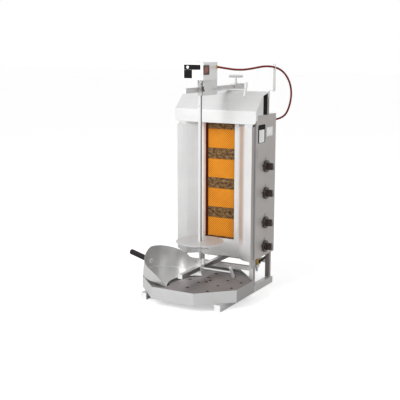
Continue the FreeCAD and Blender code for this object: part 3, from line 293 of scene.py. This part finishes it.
# Near white steel for the slanted wall of the burner frame; it is tinted along its depth below
frame_slant_tone = moulded_plastic("burner frame slant", (0.95, 0.95, 0.95), 0.7, 0.0, 500.0, 0.3, 0.15)
shaded_steel = brushed_steel("shaded steel", (0.02, 0.018, 0.018), "z", 0.6, 0.2)
# Painted shade on the side faces of the spit rod
shaded_rod_side_steel = brushed_steel("shaded rod side steel", (0.16, 0.155, 0.15), "z", 0.4, 0.4)
# Painted shade, near black, inside the tray under the cover and on the walls of the cover's holes
painted_shade_in_tray = moulded_plastic("painted shade inside the tray", (0.012, 0.010, 0.009), 0.5, 0.1, 300.0, 0.4)
white_caps = moulded_plastic("white cap plastic", (0.86, 0.86, 0.86), 0.5)
black_gloss = moulded_plastic("glossy black plastic", (0.028, 0.012, 0.010), 0.16, 0.6, shine=0.5)
black_grip = moulded_plastic("black grip plastic", (0.010, 0.008, 0.008), 0.5, 0.0, 700.0, 0.3, 0.2)
rocker_red = moulded_plastic("rocker plastic", (0.30, 0.07, 0.05), 0.3, 0.5)
label_white = moulded_plastic("bare plate white", (0.88, 0.88, 0.87), 0.5)
label_black = moulded_plastic("bare plate black", (0.008, 0.007, 0.007), 0.7, shine=0.15)
mark_white = moulded_plastic("mark white", (0.75, 0.75, 0.75), 0.5)
cord_red = moulded_plastic("cord rubber", (0.17, 0.007, 0.005), 0.4, 0.0, 900.0, 0.2, 0.25)
plaques = perforated_ceramic("perforated ceramic")
burner_metal = heated_metal("heat stained metal")
brass = cast_brass("brass")

# Painted reflection of the burners: a warm tint on the sheet beside them, faded out below a height. The
# slanted wall of their frame runs from pinkish white at the front to black, dark red and black towards the
# plaques
white = (1.0, 1.0, 1.0)
painted_reflection_near, painted_reflection_far = (1.0, 0.80, 0.70), (0.74, 0.60, 0.51)
add_tint(apron_steel, "X", -86, -78, [(0.0, white), (0.4, painted_reflection_near), (0.9, painted_reflection_near), (1.0, white)],
         painted_reflection_low_z)
add_tint(lit_right_wing_steel, "X", 106, 152, [(0.0, white), (0.25, painted_reflection_far), (0.7, painted_reflection_far), (1.0, white)],
         painted_reflection_low_z)
add_tint(frame_slant_tone, "Y", apron_y, plaque_y, [(0.0, (1.0, 0.94, 0.9)), (0.38, (1.0, 0.84, 0.74)),
                                       (0.46, (0.03, 0.01, 0.008)), (0.68, (0.17, 0.013, 0.003)),
                                       (0.95, (0.03, 0.008, 0.004))])

looks = {
    "base_rail_left": tube_steel, "base_rail_right": tube_steel, "end_caps": white_caps,
    "front_posts": shaded_post_steel, "rear_uprights": shaded_post_steel, "cross_tubes": tube_steel,
    "rear_column": tube_steel, "lower_arm": tube_steel, "upper_arm": tube_steel, "arm_sleeve": tube_steel,
    "housing_shell": wing_steel, "control_panel": shaded_panel_steel, "rear_cover": wing_steel,
    "front_apron": apron_steel, "wing_left": wing_steel, "wing_right": lit_right_wing_steel,
    "hood": hood_steel, "hood_masts": shaded_post_steel, "burner_frame": burner_metal,
    "ceramic_plaques": plaques, "burner_bodies": burner_metal, "gas_manifold": tube_steel,
    "gas_taps": brass, "burner_pipes": tube_steel, "gas_cock": brass, "cock_lever": black_grip,
    "motor_cover": motor_steel, "motor_base": motor_steel, "gear_motor": carriage_steel,
    "switch_frame": black_gloss, "rocker": rocker_red, "motor_carriage": carriage_steel,
    "motor_gland": brass, "housing_gland": black_grip, "spit_rod": spit_steel,
    "drive_coupling": spit_steel, "release_lever": black_gloss, "meat_plate": plate_steel,
    "plate_bar": spit_steel, "bearing_carriage": carriage_steel, "bearing_cup": spit_steel,
    "arm_clamp": clamp_grey, "carriage_clamp": clamp_grey, "bearing_clamp": clamp_grey,
    "drip_pan": tray_steel, "drip_cover": shaded_cover_steel, "meat_scoop": scoop_steel,
    "scoop_handle": black_grip, "cord_hook": carriage_steel, "lid_screws": screw_steel,
    "panel_screws": screw_steel,
}
for number in range(1, 5):
    looks["knob_%d" % number] = black_gloss
    looks["tap_plug_%d" % number] = brass
for name, material in looks.items():
    mesh = frame["nodes"][name].data
    mesh.materials.clear()
    mesh.materials.append(material)


# A mesh whose form is drawn by a function
def new_mesh(name, build):
    shape = bmesh.new()
    build(shape)
    bmesh.ops.remove_doubles(shape, verts=shape.verts, dist=1e-6)
    bmesh.ops.recalc_face_normals(shape, faces=shape.faces)
    mesh = bpy.data.meshes.new(name)
    shape.to_mesh(mesh)
    shape.free()
    return mesh


# A piece that only the scene has; it rides on a body
def mesh_piece(name, build, material, body):
    mesh = new_mesh(name, build)
    piece = bpy.data.objects.new(name, mesh)
    bpy.context.scene.collection.objects.link(piece)
    mesh.materials.append(material)
    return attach(piece, body)


# The mesh of an object with its modifiers applied; the object itself goes
def finished_mesh(data, prepare):
    holder = bpy.data.objects.new("holder", data)
    bpy.context.scene.collection.objects.link(holder)
    prepare(holder)
    graph = bpy.context.evaluated_depsgraph_get()
    mesh = bpy.data.meshes.new_from_object(holder.evaluated_get(graph), preserve_all_data_layers=True,
                                           depsgraph=graph)
    bpy.data.objects.remove(holder)
    return mesh


def weigh_normals(holder):
    weights = holder.modifiers.new("weights", "WEIGHTED_NORMAL")
    weights.weight = 100
    weights.keep_sharp = True


record = frame["record"]
body_of = {name: body for body, names in record["behaviour"]["bodies"].items() for name in names}


# The piece stands in for the CAD node of this name
def take_place(piece, name):
    bpy.context.scene.collection.objects.link(piece)
    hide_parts(name)
    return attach(piece, body_of[name])


# Sheets and tubes get softly rounded edges; the copy takes the place of the node.
# Each extra is a second material with the test that chooses its faces, by place in mm and normal.
def soften(name, width, extra=(), cut_z=None):
    source = frame["nodes"][name]
    shape = bmesh.new()
    shape.from_mesh(source.data)
    bmesh.ops.remove_doubles(shape, verts=shape.verts, dist=2e-6)
    bmesh.ops.dissolve_limit(shape, angle_limit=0.01, verts=shape.verts, edges=shape.edges)
    if cut_z:
        bmesh.ops.bisect_plane(shape, geom=shape.verts[:] + shape.edges[:] + shape.faces[:],
                               plane_co=(0, 0, cut_z * MM), plane_no=(0, 0, 1))
    sharp = [e for e in shape.edges if len(e.link_faces) == 2 and e.calc_face_angle(0.0) > 0.6]
    bmesh.ops.bevel(shape, geom=sharp, offset=width * MM, segments=2, profile=0.5, affect="EDGES",
                    clamp_overlap=True)
    mesh = bpy.data.meshes.new(name + "_soft")
    shape.normal_update()
    for index, (material, chosen) in enumerate(extra, 1):
        for face in shape.faces:
            if chosen(face.calc_center_median() / MM, face.normal):
                face.material_index = index
    for face in shape.faces:
        face.smooth = True
    shape.to_mesh(mesh)
    shape.free()
    mesh.set_sharp_from_angle(angle=sharp_angle)
    mesh.materials.append(looks[name])
    for material, chosen in extra:
        mesh.materials.append(material)
    mesh = finished_mesh(mesh, weigh_normals)
    return take_place(bpy.data.objects.new(name + "_soft", mesh), name)


# Widths of the roundings in mm
for name, width in (("hood", 0.5), ("front_apron", 0.4), ("wing_left", 0.4), ("control_panel", 0.4),
                    ("motor_cover", 0.4), ("motor_carriage", 0.5), ("upper_arm", 0.5),
                    ("base_rail_left", 0.5), ("base_rail_right", 0.5), ("meat_plate", 0.4),
                    ("switch_frame", 0.3), ("rocker", 0.4)):
    soften(name, width)


# Tests that choose faces; the middle of the tray and the reach of its holes are seen from the spit
pan_middle = Vector((SPIT_X, SPIT_Y, 55.0))
holes_half_width, holes_front_y, holes_rear_y = 205, -215, 150


def inside_tray(place, way):
    return tray_floor_z < place.z < tray_cover_z and way.dot(pan_middle - place) > 0


def wall_of_cover_hole(place, way):
    x, y = place.x - SPIT_X, place.y - SPIT_Y
    return -0.5 < way.z < 0.97 and abs(x) < holes_half_width and holes_front_y < y < holes_rear_y


def faces_front(place, way):
    return way.y < -0.9


def faces_right(place, way):
    return way.x > 0.9


# Painted shade: the tray's left and right facets take the shaded tray steel, and its inside under the cover
# is painted near black
soften("drip_pan", 0.4, ((shaded_tray_steel, lambda place, way: abs(way.x) > 0.85), (painted_shade_in_tray, inside_tray)),
       tray_cover_z)
# Painted shade, near black, on the walls of the cover's holes
soften("drip_cover", 0.3, ((painted_shade_in_tray, wall_of_cover_hole),))
# Painted light on the front faces of the posts and cross tubes; the other faces of the posts keep their
# darker steel, which is painted shade
soften("front_posts", 0.5, ((lit_post_front_steel, faces_front),))
soften("cross_tubes", 0.5, ((lit_post_front_steel, faces_front),))
# Painted shade on the faces of the right wing that point right
soften("wing_right", 0.4, ((shaded_flange_steel, faces_right),))
soften("gas_cock", 0.3, ((screw_steel, lambda place, way: place.z < gas_tail_top_z),))
# Painted shade on the faces of the lower arm that point right
soften("lower_arm", 0.5, ((shaded_tube_steel, faces_right),))
# The slanted faces of the burner frame that point right take the frame slant tone
soften("burner_frame", 0.2, ((frame_slant_tone, lambda place, way: way.x > 0.4),))
soften("hood_masts", 0.5, ((shaded_steel, faces_front),))
soften("spit_rod", 0.6, ((shaded_rod_side_steel, lambda place, way: abs(way.x) > 0.9),))


# Side walls between rings that have the same number of points
def join_rings(shape, rings):
    for low, high in zip(rings, rings[1:]):
        count = len(low)
        for n in range(count):
            shape.faces.new((low[n], low[(n + 1) % count], high[(n + 1) % count], high[n]))


# The same, closed at both ends
def closed_rings(shape, rings):
    shape.faces.new(rings[0][::-1])
    shape.faces.new(rings[-1])
    join_rings(shape, rings)


# Round screw head with a six-sided socket, one unit in radius
def screw_head(shape):
    rings = []
    steps = 24
    for radius, height, corners in ((1.0, 0.0, steps), (0.97, 0.16, steps), (0.82, 0.38, steps),
                                    (0.55, 0.5, steps), (0.42, 0.5, 6), (0.4, 0.2, 6)):
        ring = []
        for n in range(steps):
            turn = 2 * math.pi * n / steps
            part = (turn % (2 * math.pi / corners)) - math.pi / corners
            far = radius if corners == steps else radius * math.cos(math.pi / 6) / math.cos(part)
            ring.append(shape.verts.new((far * math.cos(turn), far * math.sin(turn), height)))
        rings.append(ring)
    join_rings(shape, rings)
    shape.faces.new(rings[-1])


# The loose parts of a node's mesh, each as a list of its points
def islands(name):
    shape = bmesh.new()
    shape.from_mesh(frame["nodes"][name].data)
    bmesh.ops.remove_doubles(shape, verts=shape.verts, dist=2e-6)
    left = set(shape.verts)
    found = []
    for start in shape.verts:
        if start not in left:
            continue
        left.discard(start)
        reached = [start]
        group = [start]
        while reached:
            vert = reached.pop()
            for edge in vert.link_edges:
                other = edge.other_vert(vert)
                if other in left:
                    left.discard(other)
                    reached.append(other)
                    group.append(other)
        found.append([v.co.copy() for v in group])
    shape.free()
    return found


# Each head stands on the flat side of its dome; the thin way of the dome is the way it points
def screw_points(name, outward):
    mesh = bpy.data.meshes.new(name + "_points")
    places, ways, sizes = [], [], []
    for group in islands(name):
        low = Vector([min(v[k] for v in group) for k in range(3)])
        high = Vector([max(v[k] for v in group) for k in range(3)])
        spread = high - low
        axis = min(range(3), key=lambda k: spread[k])
        sign = outward(axis, (low + high) / 2)
        place = (low + high) / 2
        place[axis] = low[axis] if sign > 0 else high[axis]
        way = Vector((0, 0, 0))
        way[axis] = sign
        places.append(place)
        ways.append(way)
        sizes.append(max(spread) / 2)
    mesh.from_pydata(places, [], [])
    mesh.attributes.new("way", "FLOAT_VECTOR", "POINT")
    mesh.attributes.new("size", "FLOAT", "POINT")
    for n, (way, size) in enumerate(zip(ways, sizes)):
        mesh.attributes["way"].data[n].vector = way
        mesh.attributes["size"].data[n].value = size
    return mesh


stained_depth = 6.0


# Geometry nodes set a head on each point; those in the plane of the plaques are stained by the flames
def scatter(name, points, head, material):
    group = bpy.data.node_groups.new(name, "GeometryNodeTree")
    group.interface.new_socket("Geometry", in_out="INPUT", socket_type="NodeSocketGeometry")
    group.interface.new_socket("Geometry", in_out="OUTPUT", socket_type="NodeSocketGeometry")
    made = {kind: group.nodes.new(kind) for kind in (
        "NodeGroupInput", "NodeGroupOutput", "GeometryNodeInstanceOnPoints", "GeometryNodeObjectInfo",
        "GeometryNodeRealizeInstances", "GeometryNodeSetMaterial", "FunctionNodeAlignRotationToVector")}
    way = group.nodes.new("GeometryNodeInputNamedAttribute")
    way.data_type = "FLOAT_VECTOR"
    way.inputs["Name"].default_value = "way"
    size = group.nodes.new("GeometryNodeInputNamedAttribute")
    size.data_type = "FLOAT"
    size.inputs["Name"].default_value = "size"
    turn = made["FunctionNodeAlignRotationToVector"]
    turn.axis = "Z"
    put = made["GeometryNodeInstanceOnPoints"]
    made["GeometryNodeObjectInfo"].inputs["Object"].default_value = head
    made["GeometryNodeSetMaterial"].inputs["Material"].default_value = material
    link = group.links.new
    link(made["NodeGroupInput"].outputs[0], put.inputs["Points"])
    link(made["GeometryNodeObjectInfo"].outputs["Geometry"], put.inputs["Instance"])
    link(way.outputs["Attribute"], turn.inputs["Vector"])
    link(turn.outputs[0], put.inputs["Rotation"])
    link(size.outputs["Attribute"], put.inputs["Scale"])
    link(put.outputs[0], made["GeometryNodeRealizeInstances"].inputs[0])
    link(made["GeometryNodeRealizeInstances"].outputs[0], made["GeometryNodeSetMaterial"].inputs[0])
    link(made["GeometryNodeSetMaterial"].outputs[0], made["NodeGroupOutput"].inputs[0])

    def prepare(holder):
        holder.modifiers.new("scatter", "NODES").node_group = group

    mesh = finished_mesh(points, prepare)
    mesh.materials.clear()
    mesh.materials.append(material)
    mesh.materials.append(burner_metal)
    for face in mesh.polygons:
        face.use_smooth = True
        face.material_index = 1 if abs(face.center.y / MM - plaque_y - SPIT_Y) < stained_depth else 0
    mesh.set_sharp_from_angle(angle=sharp_angle)
    return take_place(bpy.data.objects.new(name + "_heads", mesh), name)


head_object = bpy.data.objects.new("screw_head", new_mesh("screw_head", screw_head))
bpy.context.scene.collection.objects.link(head_object)
scatter("lid_screws", screw_points("lid_screws", lambda axis, place: 1), head_object, screw_steel)


def away_from_housing(axis, place):
    middle = at(0, housing_middle_y, 0)
    return 1 if place[axis] > middle[axis] else -1


scatter("panel_screws", screw_points("panel_screws", away_from_housing), head_object, screw_steel)
bpy.data.objects.remove(head_object)


# A thin plate with round corners on a flat face; u and v run along the face
def plate(shape, centre, u, v, normal, width, height, thick, corner):
    outline = []
    for sx, sy, start in ((1, 1, 0), (-1, 1, 90), (-1, -1, 180), (1, -1, 270)):
        for n in range(6):
            a = math.radians(start + 18 * n)
            outline.append(((sx * (width / 2 - corner) + corner * math.cos(a)),
                            (sy * (height / 2 - corner) + corner * math.sin(a))))
    low = [shape.verts.new(centre + (u * a + v * b) * MM) for a, b in outline]
    shrink = 0.996
    high = [shape.verts.new(centre + (u * a * shrink + v * b * shrink + normal * thick) * MM)
            for a, b in outline]
    closed_rings(shape, [low, high])


X, Y, Z = Vector((1, 0, 0)), Vector((0, 1, 0)), Vector((0, 0, 1))


# Bare plates where such a machine has its labels: place, width, height, thickness, corner radius
bare_plates = (
    ("panel_plates_dark", label_black, "frame", "black_plastic", Y, X, (
        ((panel_x, 213, 721.5), 75, 82, 0.5, 8),)),
    ("panel_plates_pale", label_white, "frame", "white_plastic", Y, X, (
        ((panel_x + 0.5, 213, 711), 54, 57, 0.3, 3),
        ((panel_x, 298, 725), 62, 41, 0.5, 3))),
    ("motor_plate_dark", label_black, "drive", "black_plastic", X, -Y, (
        ((-2, motor_front_y, 1019), 80, 21, 0.5, 2),
        ((-22.5, motor_front_y, 990), 39, 36, 0.5, 2))),
    ("motor_plate_pale", label_white, "drive", "white_plastic", X, -Y, (
        ((18.5, motor_front_y, 990), 38, 36, 0.5, 2),
        ((-24, motor_front_y - 0.5, 1019), 13, 13, 0.3, 6.4))),
)


def draw_plates(shape, across, normal, sizes):
    for place, width, height, thick, corner in sizes:
        plate(shape, at(*place), across, Z, normal, width, height, thick, corner)


for name, material, body, slot, across, normal, sizes in bare_plates:
    mesh_piece(name, lambda shape: draw_plates(shape, across, normal, sizes), material, body)


# Three marks at each knob on the panel, and a line on the ridge of each knob
def knob_marks(shape):
    for z in knob_heights:
        plate(shape, at(panel_x, knob_y, z + 36), Y, Z, X, 3, 9, 0.3, 1.2)
        plate(shape, at(panel_x, knob_y - 34, z + 6), Y, Z, X, 8, 8, 0.3, 3.9)
        plate(shape, at(panel_x, knob_y - 30, z - 16), Y, Z, X, 5, 5, 0.3, 2.4)


mesh_piece("knob_marks", knob_marks, label_black, "frame")
for number, z in enumerate(knob_heights, 1):
    mesh_piece("knob_line_%d" % number,
               lambda shape, z=z: plate(shape, at(knob_end_x, knob_y, z + 9), Y, Z, X, 1.6, 12, 0.3, 0.7),
               mark_white, "knob_body_%d" % number)


# A place given on the flat scoop, laid down as the scoop lies
def lay_on_scoop(u, v, h):
    place = Matrix.Rotation(math.radians(scoop_tilt), 3, "Y") @ Vector((u, v, h))
    place = Matrix.Rotation(math.radians(scoop_turn), 3, "Z") @ place
    x, y, z = scoop_place
    return at(place.x + x, place.y + y, place.z + z)


# Weld bead where the wall of the scoop stands on its floor
def weld_bead(shape):
    steps, corners, reach, height = 140, 8, 112, 1.9
    rings = []
    for n in range(steps + 1):
        turn = math.radians(-reach + 2 * reach * n / steps)
        thick = 1.7 + 0.35 * math.sin(n * 1.9)
        ring = []
        for k in range(corners):
            around = 2 * math.pi * k / corners
            far = scoop_bead_radius + thick * math.cos(around)
            rise = height + thick * math.sin(around)
            ring.append(shape.verts.new(lay_on_scoop(
                scoop_straight + far * math.cos(turn), far * math.sin(turn), rise)))
        rings.append(ring)
    closed_rings(shape, rings)


mesh_piece("scoop_weld", weld_bead, weld_steel, "scoop")


# Pale washer under the head of the bolt that holds the grip
def bolt_washer(shape):
    rings = []
    steps = 28
    for far, rise in ((0.1, 3.3), (6.0, 3.3), (12.0, 1.8), (12.0, 0.0)):
        ring = []
        for k in range(steps):
            turn = 2 * math.pi * k / steps
            ring.append(shape.verts.new(lay_on_scoop(
                scoop_wall_u - rise, far * math.cos(turn), scoop_bolt_height + far * math.sin(turn))))
        rings.append(ring)
    closed_rings(shape, rings)


mesh_piece("scoop_washer", bolt_washer, white_caps, "scoop")


# Lips behind the top edges of the wings, up to the underside of the hood
def hood_lips(shape):
    path = [(101, 179.5), (144, 142.2), (152, 137.2), (187.6, 136.6)]
    low_z, high_z, thick = 750, 769, 1.2
    for side in (-1, 1):
        for (x0, y0), (x1, y1) in zip(path, path[1:]):
            out = Vector((y1 - y0, x0 - x1, 0)).normalized() * -thick
            corners = []
            for z in (low_z, high_z):
                corners.append([(side * x0, y0, z), (side * x1, y1, z),
                                (side * (x1 + out.x), y1 + out.y, z), (side * (x0 + out.x), y0 + out.y, z)])
            low = [shape.verts.new(at(*c)) for c in corners[0]]
            high = [shape.verts.new(at(*c)) for c in corners[1]]
            closed_rings(shape, [low, high])


mesh_piece("hood_lips", hood_lips, wing_steel, "frame")


# The cord, from the drive over the hook to the back of the housing
cord_points = (
    (60.0, 52.0, 1018.0), (96.0, 56.0, 1013.0), (124.0, 82.0, 1007.0),
    (152.0, 124.0, 1006.0), (180.0, 168.0, 1013.0), (206.0, 214.0, 1021.0),
    (232.0, 262.0, 1017.0), (250.0, 306.0, 1000.0), (258.0, 350.0, 968.0),
    (258.0, 388.0, 928.0), (250.0, 416.0, 880.0), (234.0, 432.0, 832.0),
    (214.0, 440.0, 794.0), (188.0, 444.0, 776.0), (164.0, 436.0, 768.0), (151.5, 412.0, 766.0),
    (150.0, 384.0, 766.0))
route = bpy.data.curves.new("cord_route", "CURVE")
route.dimensions = "3D"
spline = route.splines.new("NURBS")
spline.points.add(len(cord_points) - 1)
for point, place in zip(spline.points, cord_points):
    point.co = (*at(*place), 1)
spline.order_u = 3
spline.use_endpoint_u = True
spline.resolution_u = 8


def curve_mesh(curve, bevel):
    curve.bevel_depth = bevel
    return finished_mesh(curve, lambda holder: None)


route_points = [v.co.copy() for v in curve_mesh(route, 0.0).vertices]
route.bevel_resolution = 5
route.use_fill_caps = True
cord_mesh = curve_mesh(route, cord_diameter / 2 * MM)
cord_mesh.name = "cord"
cord_mesh.materials.clear()
cord_mesh.materials.append(cord_red)
cord = bpy.data.objects.new("cord", cord_mesh)
bpy.context.scene.collection.objects.link(cord)
for face in cord_mesh.polygons:
    face.use_smooth = True
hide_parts("power_cord")
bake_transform(cord)


# A tapered, ribbed sleeve where the cord enters the housing
def cord_sleeve(shape):
    start = at(150, 381, 766)
    along = Vector((0, 1, 0))
    side = along.orthogonal().normalized()
    other = along.cross(side)
    length, wide, taper, rib = 24, 7.4, 2.3, 0.5
    steps, corners = 9, 20
    rings = []
    for n in range(steps):
        t = n / (steps - 1)
        r = wide - taper * t + (rib if n % 2 else 0.0)
        ring = []
        for k in range(corners):
            turn = 2 * math.pi * k / corners
            ring.append(shape.verts.new(start + along * (length * t * MM)
                                        + (side * math.cos(turn) + other * math.sin(turn)) * r * MM))
        rings.append(ring)
    closed_rings(shape, rings)


mesh_piece("housing_cord_sleeve", cord_sleeve, black_grip, "frame")

# Floor: it keeps the shadow, and shines a little for the camera so that it stays pale
floor_size = 60.0
floor_drop = 0.0005
floor_shine = 0.45
bpy.ops.mesh.primitive_plane_add(size=floor_size, location=(0, 0, -floor_drop))
floor = bpy.context.object
floor.name = "floor"
floor_material, tree, shader = new_material("plain floor")
shader.inputs["Base Color"].default_value = (0.9, 0.9, 0.9, 1)
shader.inputs["Roughness"].default_value = 0.9
rays = tree.nodes.new("ShaderNodeLightPath")
seen = tree.nodes.new("ShaderNodeMath")
seen.operation = "MULTIPLY"
seen.inputs[1].default_value = floor_shine
tree.links.new(rays.outputs["Is Camera Ray"], seen.inputs[0])
shader.inputs["Emission Color"].default_value = (1, 1, 1, 1)
tree.links.new(seen.outputs[0], shader.inputs["Emission Strength"])
floor.data.materials.append(floor_material)

# White surroundings: dimmer as a light than they look to the camera and in reflections
light_level, look_level = 0.55, 1.0
world = bpy.data.worlds.new("studio")
bpy.context.scene.world = world
world.use_nodes = True
tree = world.node_tree
background = tree.nodes["Background"]
rays = tree.nodes.new("ShaderNodeLightPath")
seen = tree.nodes.new("ShaderNodeMath")
seen.operation = "MAXIMUM"
tree.links.new(rays.outputs["Is Camera Ray"], seen.inputs[0])
tree.links.new(rays.outputs["Is Glossy Ray"], seen.inputs[1])
background.inputs["Color"].default_value = (1, 1, 1, 1)
tree.links.new(span(tree, seen.outputs[0], light_level, look_level), background.inputs["Strength"])


def area_light(name, place, target, size, power):
    data = bpy.data.lights.new(name, "AREA")
    data.shape = "DISK"
    data.size = size
    data.energy = power
    light = bpy.data.objects.new(name, data)
    light.location = place
    light.rotation_euler = (Vector(target) - Vector(place)).to_track_quat("-Z", "Y").to_euler()
    bpy.context.scene.collection.objects.link(light)


middle = (0, 0, 0.5)
area_light("key", (-1.6, -3.2, 2.4), middle, 2.2, 90)
area_light("fill", (2.6, -1.2, 1.6), middle, 2.0, 14)

# Camera fitted to the photo: focal length in photo pixels, place in mm, angles in degrees
photo_px = 400
focal_px = 830.92
azimuth, pitch, roll = 29.289, 10.504, 0.102
camera_place = (1770.4, -3155.3, 1107.5)
camera_data = bpy.data.cameras.new("camera")
camera_data.sensor_width = 36.0
camera_data.lens = focal_px / photo_px * camera_data.sensor_width
camera = bpy.data.objects.new("camera", camera_data)
az, down, lean = math.radians(azimuth), math.radians(pitch), math.radians(roll)
forward = Vector((-math.sin(az) * math.cos(down), math.cos(az) * math.cos(down), -math.sin(down)))
right = Vector((math.cos(az), math.sin(az), 0))
up = right.cross(forward)
turned_right = right * math.cos(lean) + up * math.sin(lean)
turned_up = up * math.cos(lean) - right * math.sin(lean)
axes = Matrix((turned_right, turned_up, -forward)).transposed().to_4x4()
camera.matrix_world = Matrix.Translation(at(*camera_place)) @ axes
bpy.context.scene.collection.objects.link(camera)
bpy.context.scene.camera = camera
bpy.context.scene.view_settings.view_transform = "Standard"
